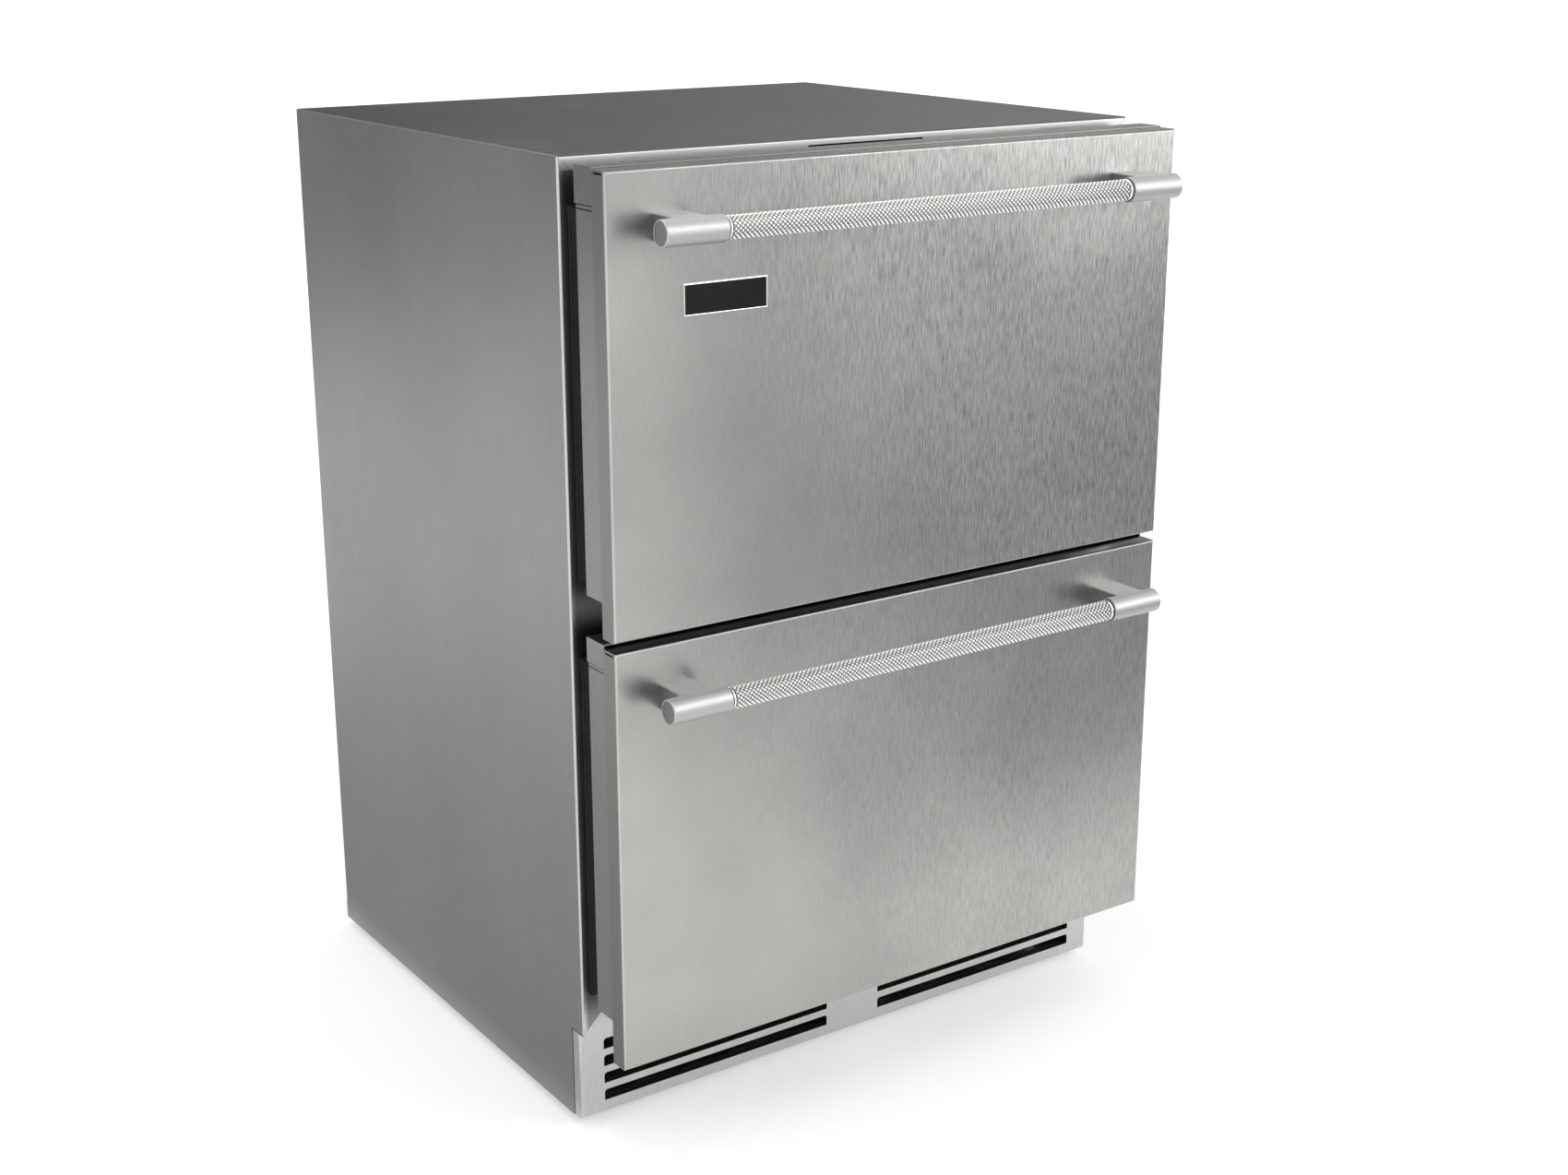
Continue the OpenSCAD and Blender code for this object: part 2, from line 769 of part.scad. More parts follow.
// Side view of the cold space, grown outward by g, with the hump over the machine bay
module cold_outline(g, front)
    polygon([
        [front, open_bottom - g], [hump_y + g, open_bottom - g], [hump_y + g, hump_z - g],
        [liner_back + g, hump_z - g], [liner_back + g, open_top + g], [front, open_top + g]
    ]);

module inner_liner() {
    color(steel) placed()
        difference() {
            along_x(both(open_hw + liner_t)) cold_outline(liner_t, sheet_t);
            along_x(both(open_hw)) cold_outline(0, sheet_t - past);
            line_holes();
        }
}

module bay_housing() {
    color(zinc) placed()
        difference() {
            along_x(both(inner_hw))
                polygon([
                    [rail_return, deck_z], [rail_return, deck_z + sheet_t],
                    [bay_y - sheet_t, deck_z + sheet_t], [bay_y - sheet_t, bay_h + sheet_t],
                    [lip_y, bay_h + sheet_t], [lip_y, bay_h], [bay_y, bay_h], [bay_y, deck_z]
                ]);
            line_holes();
        }
}

module foam_insulation() {
    color(foam_tint) placed() {
        difference() {
            intersection() {
                case_form(sheet_t);
                block(both(inner_hw), [sheet_t, panel_front], [deck_z + sheet_t, body_h - sheet_t]);
            }
            along_x(both(open_hw + liner_t)) cold_outline(liner_t, -past);
            block(both(body_hw), [bay_y - sheet_t, body_d], [0, bay_h + sheet_t]);
            difference() {
                block(both(body_hw), [lip_y, body_d], [0, body_h]);
                block(both(inner_hw - rear_lip), [0, body_d], [-past, body_h - sheet_t - rear_lip]);
            }
            module_block();
            line_holes();
            case_shanks(screw_clear);
        }
        along_x(both(open_hw)) mullion_inside(bend_r);
    }
}

module back_panel() {
    color(zinc) placed()
        difference() {
            block(both(inner_hw), [panel_front, panel_y], [bay_h + sheet_t, body_h - sheet_t]);
            case_shanks(screw_clear);
        }
}

module rear_cover() {
    color(zinc) placed()
        difference() {
            block(both(inner_hw), [panel_front, panel_y], [pan_z + pan_edge, bay_h + sheet_t]);
            for (side = [-1, 1])
                for (k = [0:louvre_rows - 1])
                    along_y([panel_front - past, panel_y + past])
                        round_rect(
                            about(side * (louvre_len + louvre_bridge) / 2, louvre_len / 2),
                            about(louvre_base + k * louvre_pitch, louvre_h / 2), louvre_h / 2 - eps
                        );
            translate([gland_at[0], panel_front - past, gland_at[1]])
                rotate([-90, 0, 0]) cylinder(d = gland_body_d + 2 * screw_clear, h = sheet_t + 2 * past);
            case_shanks(screw_clear);
        }
}

module cord_gland() {
    color(black) placed()
        translate([gland_at[0], 0, gland_at[1]])
            rotate([-90, 0, 0])
                difference() {
                    union() {
                        translate([0, 0, panel_y]) cylinder(d = gland_flange_d, h = panel_inset);
                        translate([0, 0, panel_y - gland_len]) cylinder(d = gland_body_d, h = gland_len);
                    }
                    translate([0, 0, panel_y - gland_len - past])
                        cylinder(d = gland_d, h = gland_len + panel_inset + 2 * past);
                }
}

// Screws of the rear panels, on the rear flange
case_screw_x = inner_hw - rear_lip / 2;
case_screw_z = [
    case_screw_in, bay_h - case_screw_in, bay_h + case_screw_in, (bay_h + body_h) / 2, body_h - case_screw_in
];
module case_spots()
    for (side = [-1, 1], z = case_screw_z)
        translate([side * case_screw_x, panel_y, z]) rotate([90, 0, 0]) children();

module case_shanks(gap)
    case_spots() shank(gap);

module case_screws() {
    color(zinc) placed() case_spots() screw();
}

module base_pan() {
    color(zinc) placed()
        difference() {
            union() {
                block(both(inner_hw), [toe_d, y_back], [sheet_t, pan_z]);
                block(both(inner_hw), [toe_d, toe_d + sheet_t], [sheet_t, pan_z + pan_front_edge]);
                both_sides()
                    block([inner_hw - sheet_t, inner_hw], [toe_d, body_d], [sheet_t, pan_z + pan_edge]);
                block(both(body_hw), [body_d, y_back], [0, pan_z + pan_edge]);
                comp_feet() cylinder(d = mount_bolt_d, h = comp_z + foot_plate_t + mount_bolt_d / 2);
            }
            leg_spots() cylinder(d = stem_d + 2 * pan_clear, h = 3 * pan_z, center = true);
        }
}

module toe_grille() {
    x = both(body_hw);
    y = [grille_setback, toe_d - grille_gap];
    z = [grille_lift, toe_h];
    color(steel) placed() {
        difference() {
            folded_pan(x, y, z, grille_t, grille_r);
            slots() along_y([y[0] - past, y[0] + grille_t + past])
                round_rect([0, slot_len], [0, slot_h], slot_r, [0, 0, 1, 1]);
        }
        slots() block([0, slot_len], [y[0] + grille_t - eps, y[0] + grille_t + slot_lip], [-grille_t, 0]);
    }
}

slot_start = (slot_bridge + slot_len) / 2;
module slots()
    for (side = [-1, 1])
        for (k = [0:slot_rows - 1])
            translate([side * slot_start - slot_len / 2, 0, slot_base + k * slot_pitch]) children();

module air_baffle() {
    color(zinc) placed() {
        block(both(sheet_t / 2), [toe_d + sheet_t, bay_y], [pan_z, deck_z]);
        block([0, bottom_hem], [toe_d + sheet_t, bay_y], [pan_z, pan_z + sheet_t]);
    }
}

// ---- Controls and light ---------------------------------------------------

module control_strip() {
    color(black) placed()
        along_y([-strip_t, 0])
            round_rect(both(strip_w / 2), [strip_top - strip_h, strip_top], strip_t);
}

module module_block()
    block(both(strip_w / 2), [sheet_t, sheet_t + module_d], [strip_top - strip_h, strip_top]);

module control_module() {
    color(black) placed() {
        module_block();
        block(both(strip_w / 2 - strip_rim - window_gap), [0, sheet_t + eps],
              grow([strip_top - strip_h, strip_top], -strip_rim - window_gap));
    }
}

module light_bar() {
    color(white) placed()
        along_x(both(light_len / 2))
            round_rect([light_y, light_y + light_w], [open_top - light_h, open_top], light_h / 3, [1, 1, 0, 0]);
}

// ---- Evaporator -------------------------------------------------------------

// Half ring of tube that joins two tubes of a coil, ends at +-Y, bulging to +X
module return_bend()
    rotate([0, 0, -90])
        rotate_extrude(angle = 180)
            translate([tube_pitch / 2, 0]) circle(d = tube_d);

// Fin-and-tube coil in two columns, tubes along X; both ends leave the top row at +X
module coil(rows, length) {
    end_x = length / 2 + end_plate_t;
    z = [-fin_margin, (rows - 1) * tube_pitch + fin_margin];
    y = both(coil_depth / 2);
    for (column = [-1, 1])
        translate([0, column * tube_pitch / 2, 0]) {
            for (k = [0:rows - 1])
                translate([-end_x, 0, k * tube_pitch])
                    rotate([0, 90, 0]) cylinder(d = tube_d, h = 2 * end_x + (k == rows - 1 ? coil_stub : 0));
            for (k = [0:rows - 2])
                mirror([(rows - k) % 2 == 0 ? 1 : 0, 0, 0])
                    translate([end_x, 0, (k + 0.5) * tube_pitch]) rotate([90, 0, 0]) return_bend();
        }
    mirror([rows % 2 == 1 ? 1 : 0, 0, 0]) translate([end_x, 0, 0]) return_bend();
    both_sides() block([length / 2, end_x], y, z);
    for (x = row(floor(length / fin_pitch), fin_pitch)) block(about(x, fin_t / 2), y, z);
}

module evaporator_coil() {
    color(copper) placed() translate([0, evap_coil_y, evap_coil_z]) coil(evap_rows, evap_len);
}

module evaporator_cover() {
    x = both(evap_w / 2);
    ring_r = evap_fan_d / 2 + tip_gap;
    hub_r = evap_motor_d / 2;
    step = (ring_r - hub_r) / guard_rings;
    return_z = cover_z[0] + return_w;
    color(white) placed()
        difference() {
            folded_pan(x, [cover_y, liner_back], cover_z, cover_t, 2 * cover_t);
            along_y([cover_y - past, cover_y + cover_t + past])
                translate([0, evap_fan_z])
                    difference() {
                        for (k = [0:guard_rings - 1])
                            difference() {
                                circle(hub_r + (k + 1) * step);
                                circle(hub_r + k * step + guard_bar);
                            }
                        for (k = [0:guard_spokes - 1])
                            rotate(k * 360 / guard_spokes + 45)
                                translate([0, -guard_bar / 2]) square([ring_r + past, guard_bar]);
                    }
            for (at = row(return_slots, return_pitch))
                along_y([cover_y - past, cover_y + cover_t + past])
                    round_rect(about(at, return_w / 2), [return_z, return_z + return_h], return_w / 2 - eps);
        }
}

// Axial fan on the Z axis, from z = 0 to its width, with its shaft above it
module fan_rotor(d, hub_d, blades) {
    cylinder(d = hub_d, h = fan_w);
    cylinder(d = shaft_d, h = fan_w + motor_gap + shaft_grip);
    intersection() {
        difference() {
            cylinder(d = d, h = fan_w);
            translate([0, 0, -past]) cylinder(d = hub_d - blade_t, h = fan_w + 2 * past);
        }
        for (k = [0:blades - 1])
            rotate([0, 0, k * 360 / blades])
                translate([0, 0, fan_w / 2])
                    rotate([blade_tilt, 0, 0])
                        translate([0, -fan_w, -blade_t / 2]) cube([d, 2 * fan_w, blade_t]);
    }
}

// Motor body from z = 0, with the bearing bore for the fan's shaft
module motor_body(d, length)
    difference() {
        cylinder(d = d, h = length);
        translate([0, 0, -past]) cylinder(d = shaft_d + 2 * shaft_clear, h = shaft_grip + 2 * past);
    }

module evaporator_fan() {
    color(dark_paint) placed()
        translate([0, evap_fan_y, evap_fan_z])
            rotate([-90, 0, 0]) fan_rotor(evap_fan_d, evap_motor_d, evap_blades);
}

module evaporator_fan_motor() {
    color(black) placed()
        translate([0, evap_motor_y, evap_fan_z])
            rotate([-90, 0, 0]) motor_body(evap_motor_d, liner_back - evap_motor_y);
}

// ---- Condensing unit ---------------------------------------------------------

module condenser_coil() {
    color(copper) placed() translate([cond_x, bay_mid_y, cond_z]) rotate([0, 0, 90]) coil(cond_rows, cond_len);
}

module condenser_fan_shroud() {
    x = [shroud_x, shroud_x + shroud_d];
    y = about(bay_mid_y, shroud_size / 2);
    z = [pan_z, pan_z + shroud_size];
    color(zinc) placed()
        difference() {
            block(x, y, z);
            block([x[0] - past, x[1] - shroud_t], grow(y, -shroud_t), grow(z, -shroud_t));
            translate([x[0], bay_mid_y, cond_fan_z])
                rotate([0, 90, 0]) cylinder(d = cond_fan_d + 2 * tip_gap, h = shroud_d + past);
        }
}

module condenser_fan() {
    color(dark_paint) placed()
        translate([cond_fan_x, bay_mid_y, cond_fan_z])
            rotate([0, 90, 0]) fan_rotor(cond_fan_d, cond_hub_d, cond_blades);
}

module condenser_fan_motor() {
    reach = cond_fan_d / 2 + tip_gap + shroud_rim / 2;
    foot = cond_motor_x - shroud_x - shroud_d;
    color(black) placed()
        translate([cond_motor_x, bay_mid_y, cond_fan_z])
            rotate([0, 90, 0]) {
                motor_body(cond_motor_d, cond_motor_len);
                for (k = [0:3])
                    rotate([0, 0, 90 * k]) {
                        block([cond_motor_d / 2 - shroud_t, reach], both(arm_w / 2), [0, motor_gap]);
                        block([reach - shroud_t, reach], both(arm_w / 2), [-foot, motor_gap]);
                    }
            }
}

module comp_feet()
    for (sx = [-1, 1], sy = [-1, 1])
        translate([comp_x + sx * comp_feet_x / 2, bay_mid_y + sy * comp_feet_y / 2, 0]) children();

// Half outline of the welded shell with its rounded ends and the seam flange between them
module comp_outline() {
    r = comp_d / 2;
    intersection() {
        round_rect(both(r), [0, comp_h], comp_corner);
        square([r, comp_h]);
    }
    translate([0, comp_seam]) square([r + foot_plate_t, foot_plate_t]);
}

module compressor() {
    shell_z = comp_z + foot_plate_t;
    relay_z = shell_z + comp_seam + 2 * foot_plate_t;
    color(dark_paint) placed() {
        translate([comp_x, bay_mid_y, shell_z]) rotate_extrude() comp_outline();
        difference() {
            block(about(comp_x, (comp_feet_x + mount_d) / 2), about(bay_mid_y, (comp_feet_y + mount_d) / 2),
                  [comp_z, shell_z + eps]);
            translate([0, 0, comp_z - past])
                comp_feet() cylinder(d = mount_bolt_d + 2 * screw_clear, h = foot_plate_t + 2 * past);
        }
        for (side = [-1, 1])
            translate([comp_x + side * stub_spread, bay_mid_y, stub_z - 2 * stub_rise])
                cylinder(d = side < 0 ? line_d : suction_d, h = 2 * stub_rise);
        block([comp_x + comp_d / 3, comp_x + comp_d / 2 + relay_d], about(bay_mid_y, relay_w / 2),
              [relay_z, relay_z + relay_h]);
    }
}

module compressor_mounts() {
    color(black) placed()
        comp_feet()
            translate([0, 0, pan_z])
                difference() {
                    cylinder(d = mount_d, h = mount_h);
                    translate([0, 0, -past])
                        cylinder(d = mount_bolt_d + 2 * screw_clear, h = mount_h + 2 * past);
                    translate([0, 0, mount_h / 2])
                        rotate_extrude() translate([mount_d / 2, 0]) circle(d = mount_h / 3);
                }
}

module filter_drier() {
    neck = drier_d / 2;
    color(copper) placed()
        translate([-drier_x, bay_line_y, drier_z[0]]) {
            rotate_extrude()
                polygon([
                    [0, 0], [line_d / 2, 0], [drier_d / 2, neck], [drier_d / 2, drier_len - neck],
                    [line_d / 2, drier_len], [0, drier_len]
                ]);
        }
}

// Suction line from the coil behind the upper bin down to the compressor
suction_path = [
    [evap_port_x, evap_coil_y + tube_pitch / 2, evap_top_z],
    [riser_x, evap_coil_y + tube_pitch / 2, evap_top_z],
    [riser_x, riser_y, evap_top_z], [riser_x, riser_y, suction_z],
    [comp_x + stub_spread, riser_y, suction_z], [comp_x + stub_spread, bay_mid_y, suction_z],
    [comp_x + stub_spread, bay_mid_y, stub_z]
];

// Discharge line from the compressor to the condenser
discharge_path = [
    [comp_x - stub_spread, bay_mid_y, stub_z], [comp_x - stub_spread, bay_mid_y, discharge_z],
    [cond_x - tube_pitch / 2, bay_mid_y, discharge_z], [cond_x - tube_pitch / 2, bay_line_y, discharge_z],
    [cond_x - tube_pitch / 2, bay_line_y, cond_top_z], [cond_x - tube_pitch / 2, cond_port_y, cond_top_z]
];

// Liquid line from the condenser to the filter drier
liquid_path = [
    [cond_x + tube_pitch / 2, cond_port_y, cond_top_z], [cond_x + tube_pitch / 2, bay_line_y, cond_top_z],
    [cond_x + tube_pitch / 2, bay_line_y, liquid_z], [-drier_x, bay_line_y, liquid_z],
    [-drier_x, bay_line_y, drier_z[1]]
];

// Capillary from the filter drier up to the coil behind the upper bin
capillary_path = [
    [-drier_x, bay_line_y, drier_z[0]], [-drier_x, bay_line_y, drier_z[0] - drier_d],
    [0, bay_line_y, drier_z[0] - drier_d], [0, bay_line_y, capillary_z], [capillary_x, bay_line_y, capillary_z],
    [capillary_x, bay_line_y, evap_top_z + tube_pitch],
    [capillary_x, evap_coil_y - tube_pitch / 2, evap_top_z + tube_pitch],
    [capillary_x, evap_coil_y - tube_pitch / 2, evap_top_z],
    [evap_port_x, evap_coil_y - tube_pitch / 2, evap_top_z]
];

module refrigerant_lines() {
    color(copper) placed() {
        pipe(suction_path, suction_d, suction_bend);
        pipe(discharge_path, line_d, line_bend);
        pipe(liquid_path, line_d, line_bend);
        pipe(capillary_path, capillary_d, line_bend);
    }
}

// Clearance holes where the two lines of the evaporator pass the liner, the foam and the bay's roof
module line_holes() {
    pipe([for (i = [1:4]) suction_path[i]], suction_d + 2 * screw_clear, suction_bend);
    pipe([for (i = [4:7]) capillary_path[i]], capillary_d + 2 * screw_clear, line_bend);
}

module drain_tray() {
    color(black) placed()
        difference() {
            block(tray_x, tray_y, [pan_z, pan_z + tray_h]);
            block(grow(tray_x, -tray_wall), grow(tray_y, -tray_wall),
                  [pan_z + tray_wall, pan_z + tray_h + past]);
        }
}

// ---- Levelling legs -----------------------------------------------------------

leg_x = body_hw - leg_in;
leg_y = [leg_front, body_d - leg_rear];
module leg_spots()
    for (side = [-1, 1], y = leg_y) translate([side * leg_x, y, 0]) children();

module leg_bushes() {
    color(zinc) placed()
        leg_spots()
            translate([0, 0, pan_z])
                difference() {
                    cylinder(d = bush_d, h = bush_h);
                    translate([0, 0, -past]) cylinder(d = stem_d + 2 * stem_clear, h = bush_h + 2 * past);
                }
}

// Foot with a lock collar that stops under the base pan, and its stem
module leg(side, y) {
    foot_top = -foot_reach + foot_h;
    color(zinc) placed()
        translate([side * leg_x, y, 0]) {
            translate([0, 0, -foot_reach])
                rotate_extrude()
                    round_rect([0, foot_d / 2], [0, foot_h], foot_h / 4, [0, 1, 1, 0]);
            translate([0, 0, foot_top - eps]) cylinder(d = hex_d, h = sheet_t - foot_top + eps, $fn = 6);
            translate([0, 0, -foot_reach + foot_h / 2]) cylinder(d = stem_d, h = stem_h + foot_h / 2);
        }
}

module leg_front_left() leg(-1, leg_y[0]);
module leg_front_right() leg(1, leg_y[0]);
module leg_rear_left() leg(-1, leg_y[1]);
module leg_rear_right() leg(1, leg_y[1]);

// ---- Telescopic slides ----------------------------------------------------------

slide_span = [slide_y, slide_y + slide_len];
outer_d = slide_w - slide_t - slide_face_gap;
outer_hh = slide_h / 2;
middle_hh = outer_hh - slide_t - slide_clear;
middle_in = slide_t + slide_clear;
middle_out = outer_d - slide_t - slide_clear;
inner_hh = middle_hh - slide_lip - slide_clear;

// Outlines in (distance from the liner, height) of the three members
module channel(u, hh)
    for (s = [-1, 1])
        union() {
            translate([u[0], -hh]) square([slide_t, 2 * hh]);
            translate([u[0], s > 0 ? hh - slide_t : -hh]) square([u[1] - u[0], slide_t]);
            translate([u[1] - slide_t, s > 0 ? hh - slide_lip : -hh]) square([slide_t, slide_lip]);
        }

module inner_member() {
    far = middle_in + slide_t + slide_clear;
    for (s = [-1, 1]) {
        translate([slide_w - slide_t, -inner_hh]) square([slide_t, 2 * inner_hh]);
        translate([far, s > 0 ? inner_hh - slide_t : -inner_hh]) square([slide_w - far, slide_t]);
        translate([far, s > 0 ? inner_hh - slide_t : -middle_hh + slide_t + slide_clear])
            square([slide_t, middle_hh - inner_hh - slide_clear]);
    }
}

module slides(k) {
    color(zinc) placed()
        both_sides()
            translate([open_hw, 0, slide_z(k)])
                mirror([1, 0, 0])
                    along_y(slide_span) children();
}

module outer_member() channel([0, outer_d], outer_hh);
module middle_member() channel([middle_in, middle_out], middle_hh);

module upper_outer_slides() slides(UPPER) outer_member();
module upper_middle_slides() slides(UPPER) middle_member();
module upper_inner_slides() slides(UPPER) inner_member();
module lower_outer_slides() slides(LOWER) outer_member();
module lower_middle_slides() slides(LOWER) middle_member();
module lower_inner_slides() slides(LOWER) inner_member();

// ---- Drawer fronts -----------------------------------------------------------------

module front_skin(k) {
    color(steel) placed()
        difference() {
            folded_pan(both(skin_hw), [skin_front, skin_back], skin_span(k), skin_t, skin_r);
            corner_slits(k);
        }
}

// Slits under the top fold, where the upper corners of the folded skin are left open
module corner_slits(k) {
    top = skin_span(k)[1] - skin_r;
    both_sides()
        block([skin_hw - slit_depth, skin_hw + past], about(skin_front + skin_d / 2, slit_len / 2),
              [top - slit_h, top]);
}

module inner_panel(k) {
    plate_y = [skin_back - skin_t, skin_back];
    color(steel) placed()
        difference() {
            union() {
                block(both(box_hw), plate_y, grow(skin_span(k), -skin_t));
                block(both(box_hw), [plate_y[0], box_back], box_span(k));
            }
            block(both(box_hw - skin_t), [plate_y[0] - past, box_back - skin_t], grow(box_span(k), -skin_t));
            bin_shanks(k, screw_clear);
        }
}

module front_core(k) {
    color(foam_tint) placed()
        difference() {
            union() {
                front_form(both(box_hw), [skin_front + skin_t, skin_back - skin_t], grow(skin_span(k), -skin_t),
                           skin_r - skin_t);
                block(both(box_hw - skin_t), [skin_back - skin_d / 2, box_back - skin_t],
                      grow(box_span(k), -skin_t));
            }
            corner_slits(k);
            bin_shanks(k, screw_clear);
        }
}

module top_rail(k) {
    x = both(skin_hw);
    y = [skin_back, box_back + rail_step];
    z = rail_span(k);
    color(steel) placed()
        difference() {
            rail_form(x, y, z, skin_r);
            rail_form(grow(x, -rail_t), [y[0] - past, y[1] - rail_t], [z[0] - past, z[1] - rail_t],
                      skin_r - rail_t / 2);
        }
}

// Block whose rear and top edges are rounded
module rail_form(x, y, z, r)
    intersection() {
        along_z(z) round_rect(x, y, r, [0, 0, 1, 1]);
        along_x(x) round_rect(y, z, r, [0, 0, 1, 0]);
    }

// Closed loop of a given width round the inner panel's edge, drawn in by a given amount
module gasket_loop(k, in, w, y) {
    x = grow(both(box_hw), -in);
    z = grow(box_span(k), -in);
    along_y(y)
        difference() {
            round_rect(x, z, w / 2);
            round_rect(grow(x, -w), grow(z, -w), w / 4);
        }
}

module gasket(k) {
    head_y = -gasket_clear - gasket_layer;
    base_y = box_back + gasket_layer;
    color(black) placed() {
        gasket_loop(k, gasket_inset, gasket_w, [box_back, base_y]);
        gasket_loop(k, gasket_inset + (gasket_w - gasket_neck) / 2, gasket_neck, [base_y - eps, head_y + eps]);
        gasket_loop(k, gasket_inset, gasket_w, [head_y, -gasket_clear]);
    }
}

// ---- Handles -------------------------------------------------------------------------

// Grip with a groove beside each ferrule and a spigot that sits inside it
module handle_grip(k) {
    color(satin) placed()
        translate([0, handle_y, handle_z(k)])
            rotate([0, 90, 0]) {
                cylinder(d = grip_d, h = 2 * (grip_hw - groove_w), center = true);
                cylinder(d = grip_d - 2 * groove_d, h = 2 * grip_hw, center = true);
                cylinder(d = spigot_d, h = 2 * (grip_hw + spigot_len), center = true);
            }
}

// Ferrule of one end with its flat-topped standoff post
module handle_post(k) {
    z = handle_z(k);
    difference() {
        union() {
            translate([grip_hw, handle_y, z]) rotate([0, 90, 0]) ferrule();
            along_y([handle_y, skin_front])
                round_rect(about(ferrule_mid, post_w / 2), about(z, ferrule_d / 2), post_r);
        }
        translate([grip_hw - past, handle_y, z])
            rotate([0, 90, 0]) cylinder(d = spigot_d + 2 * spigot_clear, h = past + spigot_len + spigot_clear);
        translate([handle_len / 2 - end_recess, handle_y, z])
            rotate([0, 90, 0]) cylinder(d = ferrule_d - 2 * end_ring, h = end_recess + past);
    }
}

module ferrule()
    rotate_extrude()
        round_rect([0, ferrule_d / 2], [0, ferrule_len], end_ring / 2, [0, 1, 1, 0]);

module handle_posts(k) {
    color(satin) placed() both_sides() handle_post(k);
}

module badge_plate() {
    x = [badge_x, badge_x + badge_w];
    z = [badge_top - badge_h, badge_top];
    color(black) placed()
        difference() {
            along_y([skin_front - badge_t, skin_front]) round_rect(x, z, badge_rim);
            block(grow(x, -badge_rim), [skin_front - badge_t - past, skin_front - badge_t + badge_dish],
                  grow(z, -badge_rim));
        }
}

// ---- Bins ------------------------------------------------------------------------------

// Side view of a bin's outline drawn in by a given amount, open upward by the given rise;
// the lower bin steps up over the machine bay
module bin_outline(k, in, rise) {
    z = bin_span(k);
    y = [box_back + in, bin_back - in];
    top = z[1] + rise;
    if (k == UPPER)
        polygon([[y[0], z[0] + in], [y[1], z[0] + in], [y[1], top], [y[0], top]]);
    else
        polygon([
            [y[0], z[0] + in], [well_back - in, z[0] + in], [well_back - in, shelf_z + in],
            [y[1], shelf_z + in], [y[1], top], [y[0], top]
        ]);
}

module drawer_bin(k) {
    top = bin_span(k)[1];
    y = [box_back, bin_back];
    color(steel) placed()
        difference() {
            along_x(both(bin_hw)) bin_outline(k, 0, 0);
            along_x(both(bin_hw - bin_t)) bin_outline(k, bin_t, -bin_t);
            block(both(bin_hw - bin_rim), grow(y, -bin_rim), [top - 2 * bin_t, top + past]);
            for (x = row(vent_slots, vent_pitch))
                along_y([bin_back - bin_t - past, bin_back + past])
                    round_rect(about(x, vent_w / 2), [top - vent_drop - vent_h, top - vent_drop],
                               vent_w / 2 - eps);
            bin_shanks(k, screw_clear);
        }
}

module bin_spots(k)
    for (side = [-1, 1], z = [bin_span(k)[0] + bin_screw_in, bin_span(k)[1] - bin_screw_in])
        translate([side * bin_screw_x, box_back + bin_t, z]) rotate([90, 0, 0]) children();

module bin_shanks(k, gap)
    bin_spots(k) shank(gap);

// Room for a screw's shank with the given gap round it
module shank(gap)
    translate([0, 0, -past]) cylinder(d = screw_d + 2 * gap, h = past + screw_len + gap);

module screw() {
    cylinder(d = screw_d, h = screw_len);
    translate([0, 0, -head_h])
        difference() {
            cylinder(d = head_d, h = head_h);
            translate([0, 0, -past]) cylinder(d = head_d / 2, h = past + head_h / 2, $fn = 6);
        }
}

module bin_screws(k) {
    color(zinc) placed() bin_spots(k) screw();
}

module upper_front_skin() front_skin(UPPER);
module upper_inner_panel() inner_panel(UPPER);
module upper_front_core() front_core(UPPER);
module upper_top_rail() top_rail(UPPER);
module upper_gasket() gasket(UPPER);
module upper_handle_grip() handle_grip(UPPER);
module upper_handle_posts() handle_posts(UPPER);
module upper_bin() drawer_bin(UPPER);
module upper_bin_screws() bin_screws(UPPER);
module lower_front_skin() front_skin(LOWER);
module lower_inner_panel() inner_panel(LOWER);
module lower_front_core() front_core(LOWER);
module lower_top_rail() top_rail(LOWER);
module lower_gasket() gasket(LOWER);
module lower_handle_grip() handle_grip(LOWER);
module lower_handle_posts() handle_posts(LOWER);
module lower_bin() drawer_bin(LOWER);
module lower_bin_screws() bin_screws(LOWER);

outer_wrap();
bottom_rail();
mullion();
inner_liner();
foam_insulation();
back_panel();
bay_housing();
rear_cover();
base_pan();
toe_grille();
air_baffle();
control_strip();
control_module();
light_bar();
evaporator_cover();
evaporator_coil();
evaporator_fan_motor();
evaporator_fan();
condenser_coil();
condenser_fan_shroud();
condenser_fan_motor();
condenser_fan();
compressor();
compressor_mounts();
filter_drier();
refrigerant_lines();
drain_tray();
cord_gland();
case_screws();
leg_bushes();
leg_front_left();
leg_front_right();
leg_rear_left();
leg_rear_right();
upper_outer_slides();
upper_middle_slides();
upper_inner_slides();
upper_front_skin();
upper_inner_panel();
upper_front_core();
upper_top_rail();
upper_gasket();
upper_handle_grip();
upper_handle_posts();
upper_bin();
upper_bin_screws();
badge_plate();
lower_outer_slides();
lower_middle_slides();
lower_inner_slides();
lower_front_skin();
lower_inner_panel();
lower_front_core();
lower_top_rail();
lower_gasket();
lower_handle_grip();
lower_handle_posts();
lower_bin();
lower_bin_screws();
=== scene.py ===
from math import radians

